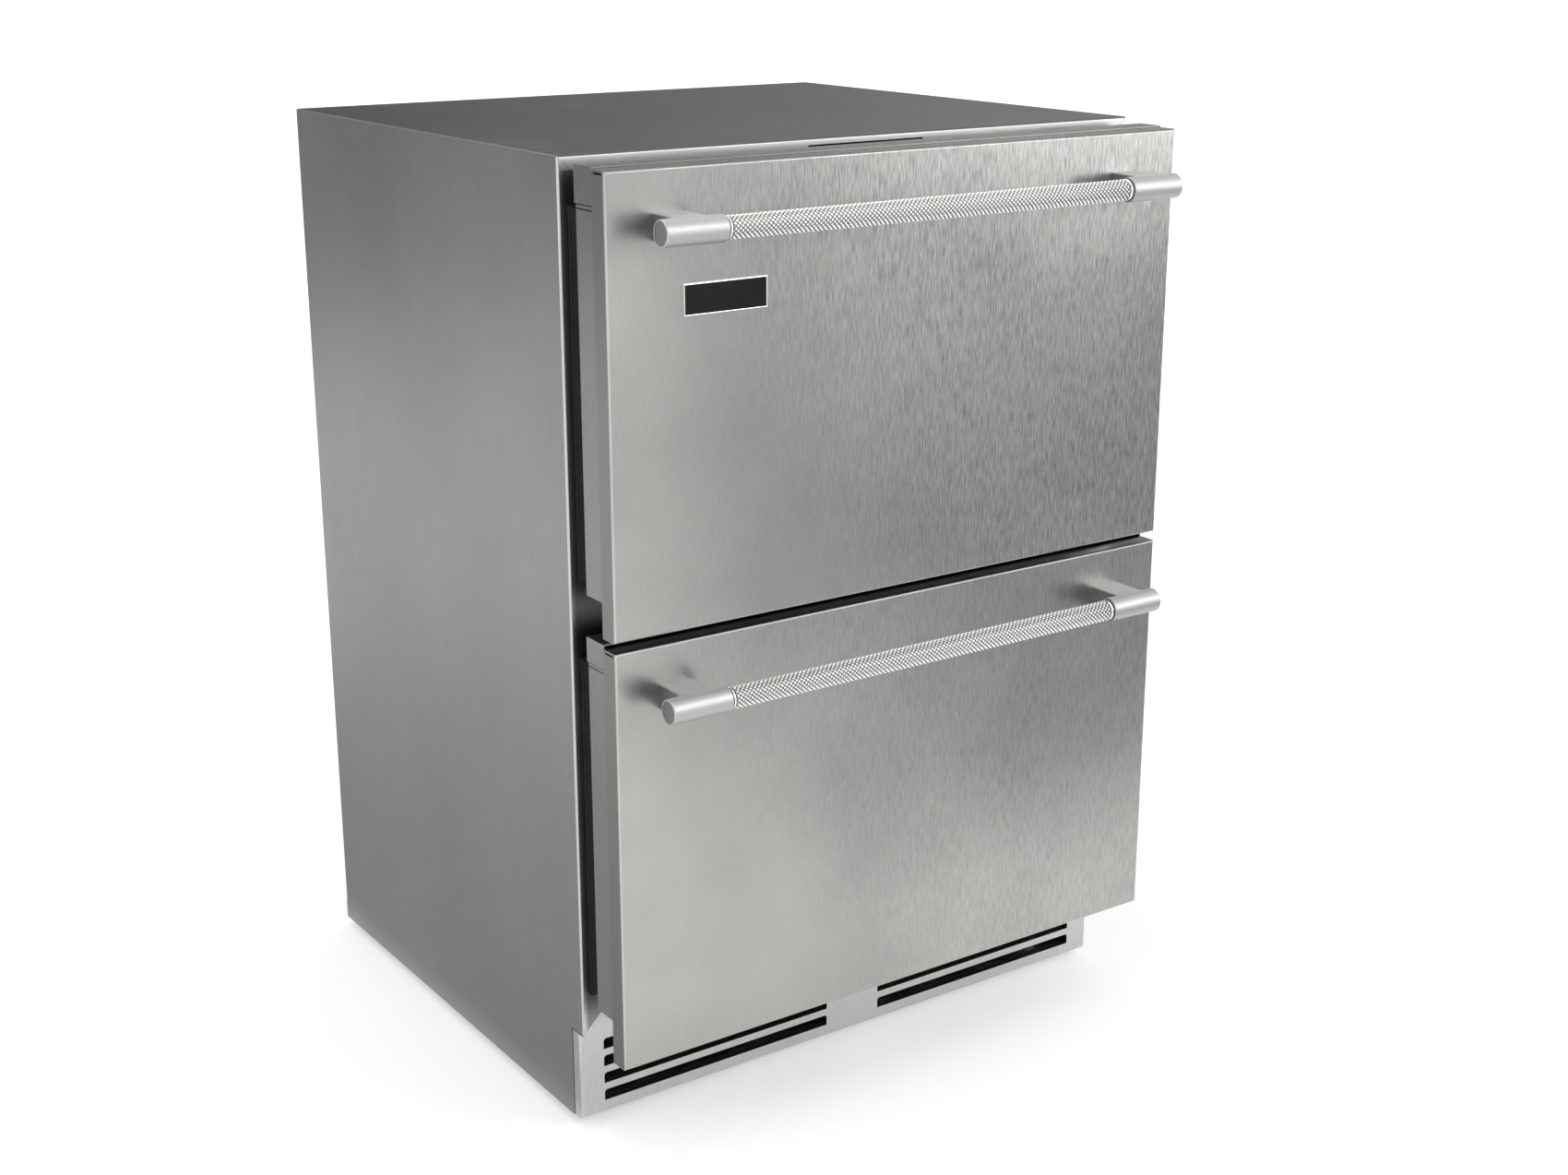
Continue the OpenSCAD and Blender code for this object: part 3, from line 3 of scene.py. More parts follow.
import bpy
import numpy as np
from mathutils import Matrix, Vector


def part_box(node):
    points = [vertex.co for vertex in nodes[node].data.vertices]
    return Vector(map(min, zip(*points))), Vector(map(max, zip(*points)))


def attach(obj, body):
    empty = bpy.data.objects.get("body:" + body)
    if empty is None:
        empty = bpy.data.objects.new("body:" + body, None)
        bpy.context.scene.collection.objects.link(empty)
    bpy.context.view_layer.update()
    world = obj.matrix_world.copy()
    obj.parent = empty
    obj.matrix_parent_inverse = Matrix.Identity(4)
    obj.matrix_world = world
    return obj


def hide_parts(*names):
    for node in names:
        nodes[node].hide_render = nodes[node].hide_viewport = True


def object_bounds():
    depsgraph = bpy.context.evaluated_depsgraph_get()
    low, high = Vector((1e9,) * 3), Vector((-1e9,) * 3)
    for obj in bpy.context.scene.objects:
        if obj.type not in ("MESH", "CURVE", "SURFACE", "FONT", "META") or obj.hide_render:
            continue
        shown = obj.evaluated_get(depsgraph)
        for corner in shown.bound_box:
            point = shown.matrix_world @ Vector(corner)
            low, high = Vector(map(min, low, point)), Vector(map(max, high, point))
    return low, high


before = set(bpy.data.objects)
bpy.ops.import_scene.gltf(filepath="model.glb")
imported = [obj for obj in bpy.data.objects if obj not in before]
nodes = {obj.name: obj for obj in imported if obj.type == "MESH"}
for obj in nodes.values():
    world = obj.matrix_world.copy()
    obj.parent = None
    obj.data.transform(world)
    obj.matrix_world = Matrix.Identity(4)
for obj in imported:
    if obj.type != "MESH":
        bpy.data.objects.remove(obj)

cad_low, cad_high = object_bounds()


# ---- Studio ----------------------------------------------------------------
# The appliance stands on a pale floor in a white room. Soft boxes light it from
# the front right, the top and the left, and grey cards shape its reflections.

# The camera was fitted to the straight edges in the photograph.
camera_data = bpy.data.cameras.new("photo_camera")
camera_data.sensor_width = 36
camera_data.lens = 50.262
camera_data.clip_end = 50
photo_camera = bpy.data.objects.new("photo_camera", camera_data)
photo_camera.location = (-1.1464, -1.73725, 1.0535)
photo_camera.rotation_euler = (radians(72.81), 0, radians(-34.67))
bpy.context.scene.collection.objects.link(photo_camera)
bpy.context.scene.camera = photo_camera
bpy.context.scene.view_settings.view_transform = "Standard"


def maths(tree, operation, a, b=0.0, clamp=False):
    """One Math node; a and b are sockets or numbers."""
    node = tree.nodes.new("ShaderNodeMath")
    node.operation = operation
    node.use_clamp = clamp
    for i, value in enumerate((a, b)):
        if isinstance(value, (int, float)):
            node.inputs[i].default_value = value
        else:
            tree.links.new(value, node.inputs[i])
    return node.outputs[0]


def spread(tree, value, low, high, to_low=0.0, to_high=1.0):
    """Map Range from low..high to to_low..to_high, held at the ends."""
    node = tree.nodes.new("ShaderNodeMapRange")
    for label, number in (("From Min", low), ("From Max", high), ("To Min", to_low), ("To Max", to_high)):
        node.inputs[label].default_value = number
    tree.links.new(value, node.inputs["Value"])
    return node.outputs["Result"]


def place(tree, output="Object"):
    """An output of a Texture Coordinate node, and its three numbers."""
    where = tree.nodes.new("ShaderNodeTexCoord").outputs[output]
    parts = tree.nodes.new("ShaderNodeSeparateXYZ")
    tree.links.new(where, parts.inputs[0])
    return where, parts.outputs


def new_finish(name, **plain):
    """A material with one Principled shader, its plain values on the shader's own sockets."""
    finish = bpy.data.materials.new(name)
    finish.use_nodes = True
    shader = finish.node_tree.nodes["Principled BSDF"]
    for label, value in plain.items():
        shader.inputs[label.replace("_", " ")].default_value = value
    return finish, finish.node_tree, shader


def white_room(strength):
    """White for the camera, in reflections and through glass, and a plain soft level for everything that is lit."""
    room = bpy.data.worlds.new("white_room")
    room.use_nodes = True
    tree = room.node_tree
    path = tree.nodes.new("ShaderNodeLightPath")
    seen = maths(tree, "MAXIMUM", path.outputs["Is Camera Ray"], path.outputs["Is Glossy Ray"])
    seen = maths(tree, "MAXIMUM", seen, path.outputs["Is Transmission Ray"])
    tree.links.new(spread(tree, seen, 0, 1, strength, 1.0), tree.nodes["Background"].inputs["Strength"])
    tree.nodes["Background"].inputs["Color"].default_value = (1, 1, 1, 1)
    bpy.context.scene.world = room


def soft_box(name, spot, aim, size, power):
    """A rectangular lamp at spot that faces aim; the camera doesn't see it."""
    lamp = bpy.data.lights.new(name, "AREA")
    lamp.shape = "RECTANGLE"
    lamp.size, lamp.size_y = size
    lamp.energy = power
    box = bpy.data.objects.new(name, lamp)
    box.location = spot
    away = np.array(spot, float) - np.array(aim, float)
    tilt, turn = np.arctan2(np.hypot(away[0], away[1]), away[2]), np.arctan2(away[1], away[0])
    box.rotation_euler = (tilt, 0, turn + np.pi / 2)
    box.visible_camera = False
    bpy.context.scene.collection.objects.link(box)


def studio_sheet(name, corners, paint):
    """A flat four-sided sheet that belongs to the studio."""
    mesh = bpy.data.meshes.new(name)
    mesh.from_pydata(corners, [], [(0, 1, 2, 3)])
    mesh.materials.append(paint)
    sheet = bpy.data.objects.new(name, mesh)
    bpy.context.scene.collection.objects.link(sheet)
    return sheet


def pale_floor(half):
    """A level square under the feet; far from the feet it turns white for the camera and in reflections."""
    near_reach, far_reach = 0.6, 3.5
    near_glow, far_glow = 0.36, 0.7
    paint, tree, shader = new_finish(
        "pale_floor", Base_Color=(0.86, 0.86, 0.86, 1), Roughness=0.7, Emission_Color=(1, 1, 1, 1))
    path = tree.nodes.new("ShaderNodeLightPath")
    far = tree.nodes.new("ShaderNodeVectorMath")
    far.operation = "LENGTH"
    tree.links.new(place(tree)[0], far.inputs[0])
    glow = spread(tree, far.outputs["Value"], near_reach, far_reach, near_glow, far_glow)
    seen = maths(tree, "MAXIMUM", path.outputs["Is Camera Ray"], path.outputs["Is Glossy Ray"])
    tree.links.new(maths(tree, "MULTIPLY", glow, seen), shader.inputs["Emission Strength"])
    studio_sheet("pale_floor", [(-half, -half, 0), (half, -half, 0), (half, half, 0), (-half, half, 0)], paint)


def grey_card(name, corners, span, levels):
    """A card that only reflections see, like a studio's grey flag; its level runs from the first to the second along
    the span of X."""
    paint, tree, shader = new_finish(name, Base_Color=(0, 0, 0, 1), Roughness=1.0, Emission_Color=(1, 1, 1, 1))
    tree.links.new(spread(tree, place(tree)[1]["X"], *span, *levels), shader.inputs["Emission Strength"])
    card = studio_sheet(name, corners, paint)
    card.visible_camera = card.visible_diffuse = card.visible_transmission = card.visible_shadow = False


white_room(strength=0.62)
pale_floor(half=14)
soft_box("front_box", spot=(1.6, -2.6, 2.1), aim=(0, -0.2, 0.5), size=(1.6, 1.6), power=34)
soft_box("top_box", spot=(-0.4, 0.4, 3.0), aim=(0, 0, 0.8), size=(2.0, 2.0), power=17)
soft_box("left_box", spot=(-2.6, 0.2, 1.5), aim=(-0.3, 0, 0.45), size=(1.2, 1.8), power=16)
soft_box("corner_box", spot=(2.0, -2.0, 0.95), aim=(0.3, -0.27, 0.8), size=(0.7, 0.5), power=7)
grey_card("left_rear_card", [(-5.5, 3.6, 0), (0.2, 3.6, 0), (0.2, 3.6, 2.8), (-5.5, 3.6, 2.8)],
          span=(-3, 0.2), levels=(0.47, 0.40))
grey_card("right_rear_card", [(0.2, 3.6, 0), (6.5, 3.6, 0), (6.5, 3.6, 3.8), (0.2, 3.6, 3.8)],
          span=(1.0, 3.4), levels=(0.055, 0.28))
grey_card("right_card", [(0.85, -2.05, 0), (2.6, -1.2, 0), (2.6, -1.2, 0.74), (0.85, -2.05, 0.74)],
          span=(0.85, 1.5), levels=(0.68, 0.45))
grey_card("floor_card", [(0.22, -0.65, 0.01), (0.8, -2.6, 0.01), (2.6, -1.7, 0.01), (1.2, -0.6, 0.01)],
          span=(0.3, 1.5), levels=(0.66, 0.36))
grey_card("side_card", [(-0.32, -0.3, 0.004), (-0.32, 0.9, 0.004), (-0.9, 1.4, 0.004), (-0.9, 0.1, 0.004)],
          span=(-0.9, -0.32), levels=(0.9, 0.62))


# ---- Cabinet sheets ----------------------------------------------------------
# The outer wrap, its bottom front rail and the rail between the drawers are folded
# from brushed stainless sheet. The grain runs up the sides and back over the top.

def group_of(name, inputs, outputs):
    """An empty node group with its sockets, and its two end nodes."""
    tree = bpy.data.node_groups.new(name, "ShaderNodeTree")
    for label, value in inputs:
        tree.interface.new_socket(name=label, in_out="INPUT", socket_type="NodeSocketFloat").default_value = value
    for label in outputs:
        tree.interface.new_socket(name=label, in_out="OUTPUT", socket_type="NodeSocketFloat")
    return tree, tree.nodes.new("NodeGroupInput"), tree.nodes.new("NodeGroupOutput")


def noise(tree, vector, scale, detail=2.0, rough=0.5):
    """The 0 to 1 value of a noise at vector."""
    node = tree.nodes.new("ShaderNodeTexNoise")
    tree.links.new(vector, node.inputs["Vector"])
    node.inputs["Scale"].default_value = scale
    node.inputs["Detail"].default_value = detail
    node.inputs["Roughness"].default_value = rough
    return node.outputs["Fac"]


def scaled_place(tree, size):
    """Object coordinates divided by a size, which is a socket or a number in metres."""
    node = tree.nodes.new("ShaderNodeVectorMath")
    node.operation = "SCALE"
    tree.links.new(place(tree)[0], node.inputs[0])
    tree.links.new(maths(tree, "DIVIDE", 1.0, size), node.inputs["Scale"])
    return node.outputs[0]


def brushed_grain():
    """Long thin streaks from two noises squeezed across the grain, and wide soft clouds. The streaks run along Z on
    upright faces and along Y on level ones."""
    tree, start, end = group_of("brushed_grain", [("Width", 0.0010), ("Length", 0.009)],
                                ["Streaks", "Hairlines", "Clouds"])
    where, point = place(tree)
    level = maths(tree, "GREATER_THAN", maths(tree, "ABSOLUTE", place(tree, "Normal")[1]["Z"]), 0.7)

    def pick(a, b):
        blend = tree.nodes.new("ShaderNodeMix")
        for socket, label in ((level, "Factor"), (a, "A"), (b, "B")):
            tree.links.new(socket, blend.inputs[label])
        return blend.outputs["Result"]

    across, along = pick(point["Y"], point["Z"]), pick(point["Z"], point["Y"])

    def squeezed(narrow, stretch):
        vector = tree.nodes.new("ShaderNodeCombineXYZ")
        width = maths(tree, "MULTIPLY", start.outputs["Width"], narrow)
        length = maths(tree, "MULTIPLY", start.outputs["Length"], stretch)
        for i, (value, size) in enumerate(((point["X"], width), (across, width), (along, length))):
            tree.links.new(maths(tree, "DIVIDE", value, size), vector.inputs[i])
        return vector.outputs[0]

    streaks = noise(tree, squeezed(1.0, 1.0), scale=1.0, detail=3.0, rough=0.55)
    hairs = noise(tree, squeezed(0.35, 3.0), scale=1.0, detail=2.0, rough=0.6)
    tree.links.new(spread(tree, streaks, 0.32, 0.68), end.inputs["Streaks"])
    tree.links.new(spread(tree, hairs, 0.3, 0.7), end.inputs["Hairlines"])
    tree.links.new(spread(tree, noise(tree, where, scale=5.0, detail=3.0), 0.3, 0.7), end.inputs["Clouds"])
    return tree


def handling_wear():
    """A few soft patches from a wide noise times a small one, as a value near 0 with patches up to 1."""
    tree, start, end = group_of("handling_wear", [("Size", 0.12)], ["Patches"])
    sized = scaled_place(tree, start.outputs["Size"])
    wide = noise(tree, sized, scale=1.0, detail=4.0, rough=0.6)
    small = noise(tree, sized, scale=6.0, detail=3.0, rough=0.6)
    both = maths(tree, "MULTIPLY", spread(tree, wide, 0.5, 0.75), spread(tree, small, 0.35, 0.7))
    tree.links.new(both, end.inputs["Patches"])
    return tree


def fold_faces():
    """Fold is 1 where the normal's largest part is well under 1, as along a bend, and 0 on flat faces; Brow is 1 on a
    bend between a front and a top; Side and Level are 1 on faces that look along X and Z."""
    tree, _, end = group_of("fold_faces", [], ["Fold", "Brow", "Side", "Level"])
    normal = place(tree, "Normal")[1]
    brow = maths(tree, "MULTIPLY", spread(tree, normal["Z"], 0.15, 0.35), spread(tree, normal["Y"], -0.15, -0.35))
    tree.links.new(brow, end.inputs["Brow"])
    x, y, z = (maths(tree, "ABSOLUTE", part) for part in normal)
    largest = maths(tree, "MAXIMUM", x, maths(tree, "MAXIMUM", y, z))
    tree.links.new(spread(tree, largest, 0.99, 0.95), end.inputs["Fold"])
    for label, part in (("Side", x), ("Level", z)):
        tree.links.new(spread(tree, part, 0.7, 0.95), end.inputs[label])
    return tree


GRAIN = brushed_grain()
WEAR = handling_wear()
FOLDS = fold_faces()


def placed_group(tree, group, **values):
    """The outputs of a group node in a material, with its own values."""
    node = tree.nodes.new("ShaderNodeGroup")
    node.node_tree = group
    for label, value in values.items():
        node.inputs[label].default_value = value
    return node.outputs


def tint(tree, factor, dark, light):
    """A colour between dark and light by factor; each is a socket or three numbers."""
    node = tree.nodes.new("ShaderNodeMix")
    node.data_type = "RGBA"
    tree.links.new(factor, node.inputs["Factor"])
    for label, colour in (("A", dark), ("B", light)):
        if isinstance(colour, tuple):
            node.inputs[label].default_value = (*colour, 1)
        else:
            tree.links.new(colour, node.inputs[label])
    return node.outputs["Result"]


def near_planes(tree, axis, places, half):
    """1 within half of any of the places along an axis, fading to 0 over another half."""
    along = place(tree)[1][axis]
    mask = 0.0
    for spot in places:
        gap = maths(tree, "ABSOLUTE", maths(tree, "SUBTRACT", along, float(spot)))
        mask = maths(tree, "MAXIMUM", spread(tree, gap, 2 * half, half), mask)
    return mask


def raised(tree, shader, height, strength, distance):
    """A Bump node from a height to the shader's Normal, on top of one that is there already."""
    bump = tree.nodes.new("ShaderNodeBump")
    bump.inputs["Strength"].default_value = strength
    bump.inputs["Distance"].default_value = distance
    tree.links.new(height, bump.inputs["Height"])
    for link in shader.inputs["Normal"].links:
        tree.links.new(link.from_socket, bump.inputs["Normal"])
    tree.links.new(bump.outputs["Normal"], shader.inputs["Normal"])


def brushed_steel(name, dark, light, rough, contrast, calm_under=None, side_shade=0.0, fold=0.5,
                  width=0.0010, length=0.009, shadow=None, shine=None):
    """Brushed stainless: streaks of the given width and length change colour, gloss and height. With a height
    calm_under the streaks' contrast is painted faint towards -X along a line that slants down from it, as painted
    light where the lights don't bring them out. side_shade is painted shade on faces that look along X, fold is a
    painted highlight along the bends, and shadow(tree) and shine(tree) say where painted shade and painted highlights
    go."""
    finish, tree, shader = new_finish(name, Metallic=1.0)
    grain = placed_group(tree, GRAIN, Width=width, Length=length)
    faces = placed_group(tree, FOLDS)
    streaks = maths(tree, "ADD", maths(tree, "MULTIPLY", grain["Streaks"], 0.7),
                    maths(tree, "MULTIPLY", grain["Hairlines"], 0.3))
    force = contrast
    # Painted light: the streaks' contrast is faint at the left and strong at the right.
    if calm_under:
        calm_left, full_right, calmest = -0.27, -0.06, 0.12 * contrast
        point = place(tree)[1]
        slant = maths(tree, "MULTIPLY", maths(tree, "SUBTRACT", point["Z"], calm_under), 0.5)
        force = spread(tree, maths(tree, "ADD", point["X"], slant), calm_left, full_right, calmest, contrast)
    value = maths(tree, "MULTIPLY", maths(tree, "SUBTRACT", streaks, 0.5), force)
    cloud_low, cloud_high = 0.32, 0.67
    value = maths(tree, "ADD", value, spread(tree, grain["Clouds"], 0, 1, cloud_low, cloud_high))
    # Painted shade on the faces that look along X.
    value = maths(tree, "SUBTRACT", value, maths(tree, "MULTIPLY", faces["Side"], side_shade))
    # Painted highlight along the bends.
    value = maths(tree, "ADD", value, maths(tree, "MULTIPLY", faces["Fold"], fold), clamp=True)
    colour = tint(tree, value, dark, light)
    # The colours of the painted highlights and the painted shade.
    bright, black = (0.72, 0.715, 0.70), (0.015, 0.015, 0.015)
    for mask, shade in ((shine, bright), (shadow, black)):
        if mask:
            colour = tint(tree, mask(tree), colour, shade)
    tree.links.new(colour, shader.inputs["Base Color"])
    gloss = maths(tree, "ADD", maths(tree, "MULTIPLY", grain["Hairlines"], 0.06), rough - 0.03)
    patches = placed_group(tree, WEAR, Size=0.16)["Patches"]
    gloss = maths(tree, "ADD", gloss, maths(tree, "MULTIPLY", patches, 0.08))
    tree.links.new(gloss, shader.inputs["Roughness"])
    raised(tree, shader, streaks, strength=0.12, distance=0.0002)
    return finish


def dress(finish, *names):
    """Gives CAD nodes their finish."""
    for name in names:
        piece = nodes[name]
        piece.data.materials.clear()
        piece.data.materials.append(finish)


def wrap_shadow(tree):
    """Painted shade: a dark line in the gap where the sides end over the toe grille's returns, and a darkened bend
    along the top's front.
    """
    bend_dark = 0.62
    _, grille_rear, grille_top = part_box("toe_grille")[1]
    ahead = maths(tree, "LESS_THAN", place(tree)[1]["Y"], grille_rear + 0.001)
    seam = maths(tree, "MULTIPLY", near_planes(tree, "Z", [grille_top], half=0.0007), ahead)
    return maths(tree, "MAXIMUM", seam, maths(tree, "MULTIPLY", placed_group(tree, FOLDS)["Brow"], bend_dark))


def wrap_shine(tree):
    """Painted highlights on the flanges: the top one's whole face, less towards +X, and the side ones at the outer
    edge of their faces and in their bends."""
    left_shine, right_shine, edge_shine, bend_shine = 0.95, 0.55, 0.8, 0.5
    top_flange, edge_start, edge_full = 0.012, 0.006, 0.002
    point, normal = place(tree)[1], place(tree, "Normal")[1]
    side, top = cad_high[0], cad_high[2]
    high = maths(tree, "GREATER_THAN", point["Z"], top - top_flange)
    high = maths(tree, "MULTIPLY", high, spread(tree, point["X"], -0.3, 0.3, left_shine, right_shine))
    across = maths(tree, "ABSOLUTE", point["X"])
    outer = spread(tree, across, side - edge_start, side - edge_full, 0.0, edge_shine)
    flat_front = spread(tree, normal["Y"], -0.96, -0.99)
    faces = maths(tree, "MULTIPLY", flat_front, maths(tree, "MAXIMUM", high, outer))
    turned_front = spread(tree, normal["Y"], -0.15, -0.35)
    turned_side = spread(tree, maths(tree, "ABSOLUTE", normal["X"]), 0.15, 0.35, 0.0, bend_shine)
    return maths(tree, "MAXIMUM", faces, maths(tree, "MULTIPLY", turned_side, turned_front))


# The wrap, the rail between the drawers and the bottom rail are one stainless in three tones, which are painted light
# and shade: the wrap darkest, the rail between the drawers lighter, the bottom rail lightest.
wrap_steel = brushed_steel(
    "wrap_steel", (0.197, 0.192, 0.186), (0.287, 0.282, 0.273),
    rough=0.34, contrast=0.5, fold=0.7, width=0.0008, length=0.03, shadow=wrap_shadow, shine=wrap_shine)
dress(wrap_steel, "outer_wrap")
rail_steel = brushed_steel("rail_steel", (0.28, 0.276, 0.27), (0.42, 0.415, 0.405), rough=0.33, contrast=0.6)
dress(rail_steel, "mullion")
sill_steel = brushed_steel("sill_steel", (0.46, 0.456, 0.448), (0.60, 0.595, 0.585), rough=0.32, contrast=0.5)
dress(sill_steel, "bottom_rail")


# ---- Drawer fronts -----------------------------------------------------------
# Each drawer has a front skin folded from brushed stainless sheet, with an inner
# panel and a top rail behind it. The grain's contrast is painted light: faint at the
# left and strong at the right, where the lights bring out the streaks.

def skin_shadow(tree):
    """Painted shade: the folded sides are darkened against the front, and the bend along the top is darkened."""
    side_dark, bend_dark = 0.28, 0.52
    faces = placed_group(tree, FOLDS)
    return maths(tree, "MAXIMUM", maths(tree, "MULTIPLY", faces["Side"], side_dark),
                 maths(tree, "MULTIPLY", faces["Brow"], bend_dark))


for drawer, contrast in (("upper", 1.7), ("lower", 0.85)):
    skin_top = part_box(f"{drawer}_front_skin")[1][2]
    # Painted shade on the folded sides (side_shade, skin_shadow) and a painted highlight along the bends (fold).
    skin_steel = brushed_steel(
        f"{drawer}_skin_steel", (0.255, 0.251, 0.242), (0.512, 0.507, 0.49),
        rough=0.31, contrast=contrast, calm_under=skin_top, side_shade=0.75, fold=0.35, width=0.0008,
        length=0.013, shadow=skin_shadow)
    dress(skin_steel, f"{drawer}_front_skin")


def panel_seam_shade(tree):
    """Painted shade: two dark lines under each top rail's foot, in the gaps where the rail laps over the inner panel.
    """
    feet = [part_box(f"{drawer}_top_rail")[0][2] for drawer in ("upper", "lower")]
    return near_planes(tree, "Z", [foot - step for foot in feet for step in (0, 0.0036)], half=0.0004)


panel_steel = brushed_steel(
    "panel_steel", (0.16, 0.157, 0.152), (0.26, 0.255, 0.246),
    rough=0.3, contrast=0.5, shadow=panel_seam_shade,
    # shine is a painted highlight on the faces that look up.
    shine=lambda tree: maths(tree, "MULTIPLY", placed_group(tree, FOLDS)["Level"], 0.35))
dress(panel_steel, "upper_inner_panel", "lower_inner_panel", "upper_top_rail", "lower_top_rail")


# ---- Foam ----------------------------------------------------------------------
# Polyurethane foam fills the cabinet's walls and both drawer fronts. Its cells show as
# small dimples, and painted shade darkens it behind the slits in the fronts' upper corners.

def moulded_grain():
    """Fine raised grain and broad mottling of a moulded or painted surface, both from noise at the given size."""
    tree, start, end = group_of("moulded_grain", [("Size", 0.0006)], ["Height", "Mottle"])
    sized = scaled_place(tree, start.outputs["Size"])
    fine = noise(tree, sized, scale=1.0, detail=2.0)
    broad = noise(tree, sized, scale=0.04, detail=4.0, rough=0.6)
    tree.links.new(spread(tree, fine, 0.25, 0.75), end.inputs["Height"])
    tree.links.new(spread(tree, broad, 0.3, 0.7), end.inputs["Mottle"])
    return tree


MOULDED = moulded_grain()


def moulded(name, dark, light, rough, size, depth, **plain):
    """Plastic, rubber, foam or paint: mottled colour, patches of handling in the gloss, and a fine raised grain."""
    finish, tree, shader = new_finish(name, **plain)
    grain = placed_group(tree, MOULDED, Size=size)
    patches = placed_group(tree, WEAR, Size=0.04)["Patches"]
    tree.links.new(tint(tree, grain["Mottle"], dark, light), shader.inputs["Base Color"])
    tree.links.new(spread(tree, patches, 0, 1, rough, rough * 0.75), shader.inputs["Roughness"])
    raised(tree, shader, grain["Height"], strength=0.5, distance=depth)
    return finish


foam_finish, core_foam = (
    moulded(name, (0.72, 0.64, 0.42), (0.84, 0.77, 0.55), rough=0.9, size=0.0016, depth=0.0004)
    for name in ("foam_finish", "core_foam"))
dress(foam_finish, "foam_insulation")
tree, shader = core_foam.node_tree, core_foam.node_tree.nodes["Principled BSDF"]
core_tops = [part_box(f"{drawer}_front_core")[1][2] for drawer in ("upper", "lower")]
# Painted shade: the cores go near black behind the slits in the fronts' upper corners.
painted_slit_shade_start = 0.29
painted_slit_shade = maths(tree, "GREATER_THAN", maths(tree, "ABSOLUTE", place(tree)[1]["X"]), painted_slit_shade_start)
painted_slit_shade = maths(tree, "MULTIPLY", painted_slit_shade, near_planes(tree, "Z", core_tops, half=0.008))
foam_colour = shader.inputs["Base Color"].links[0].from_socket
tree.links.new(tint(tree, painted_slit_shade, foam_colour, (0.008, 0.008, 0.008)), shader.inputs["Base Color"])
dress(core_foam, "upper_front_core", "lower_front_core")


# ---- Gaskets --------------------------------------------------------------------
# A black vinyl gasket runs round the back of each drawer front. Its flat foot is held
# on the inner panel, its bellows give, and the pocket at the front holds a magnet strip.

MM = 0.001


def piece_from(name, points, faces, finish, body):
    """A mesh object from a point array and a list of face index arrays, riding on a body."""
    mesh = bpy.data.meshes.new(name)
    mesh.from_pydata(points.reshape(-1, 3).tolist(), [], [f for part in faces for f in part.tolist()])
    mesh.materials.append(finish)
    made = bpy.data.objects.new(name, mesh)
    bpy.context.scene.collection.objects.link(made)
    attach(made, body)
    return made


def framed_loop(name, outline, node, finish, body):
    """A closed outline carried round the node's box in X and Z, with mitred corners. outline holds (inset, y) pairs,
    and each corner's copy of it is moved inward by its insets along both sides. The loop replaces the node."""
    low, high = np.array(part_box(node))
    inset, y = np.array(outline).T
    sign = np.array([(1, 1), (-1, 1), (-1, -1), (1, -1)], float)
    corner = np.array([(low[0], low[2]), (high[0], low[2]), (high[0], high[2]), (low[0], high[2])])
    count = len(y)
    points = np.empty((4, count, 3))
    points[:, :, 0] = corner[:, :1] + sign[:, :1] * inset
    points[:, :, 1] = y
    points[:, :, 2] = corner[:, 1:] + sign[:, 1:] * inset
    i, j = np.meshgrid(np.arange(4), np.arange(count), indexing="ij")
    a, b = (i + 1) % 4, (j + 1) % count
    quads = np.stack([i * count + j, i * count + b, a * count + b, a * count + j], -1).reshape(-1, 4)
    loop = piece_from(name, points, [quads], finish, body)
    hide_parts(node)


def bellows_outline(foot_y, head_y):
    """The gasket's section as (inset, y): a foot 12 mm wide with thin lips, a neck whose two folds swell by a cosine
    of 1.2 mm, and a magnet pocket with rounded front corners. One half is drawn and mirrored about the middle."""
    t = np.linspace(0, 1, 17)
    neck_low, neck_high = foot_y + 3.6 * MM, head_y - 4.4 * MM
    neck = np.stack([(2.5 - 1.2 * np.cos(4 * np.pi * t)) * MM, neck_low + (neck_high - neck_low) * t], -1)
    foot = [(0, foot_y), (0, foot_y + 1.6 * MM), (0.5 * MM, foot_y + 2.6 * MM)]
    turn = np.radians(np.linspace(180, 90, 5))
    pocket = [(0.2 * MM, head_y - 3.8 * MM), (0, head_y - 3.0 * MM)]
    corner = np.stack([0.8 * MM * (1 + np.cos(turn)), head_y - 0.8 * MM * (1 - np.sin(turn))], -1)
    half = np.concatenate([foot, neck, pocket, corner])
    return np.concatenate([half, (half * (-1, 1) + (12 * MM, 0))[::-1]])


gasket_vinyl = moulded(
    "gasket_vinyl", (0.006, 0.006, 0.006), (0.014, 0.014, 0.014),
    rough=0.75, size=0.0005, depth=0.00004, Specular_IOR_Level=0.25)
for drawer in ("upper", "lower"):
    low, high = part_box(f"{drawer}_gasket")
    framed_loop(f"{drawer}_bellows_gasket", bellows_outline(low[1], high[1]), f"{drawer}_gasket", gasket_vinyl,
                f"{drawer}_drawer")


# ---- Handles -------------------------------------------------------------------
# A stainless bar with a diamond knurl rolled into it, held at each end by a satin
# turned ferrule on a short square post. The bar's spigots sit inside the ferrules.

def strip_faces(rings, around):
    """Quads between neighbouring rings of a grid that is closed round its second axis."""
    i, j = np.meshgrid(np.arange(rings - 1), np.arange(around), indexing="ij")
    k = (j + 1) % around
    return np.stack([i * around + j, i * around + k, (i + 1) * around + k, (i + 1) * around + j], -1).reshape(-1, 4)


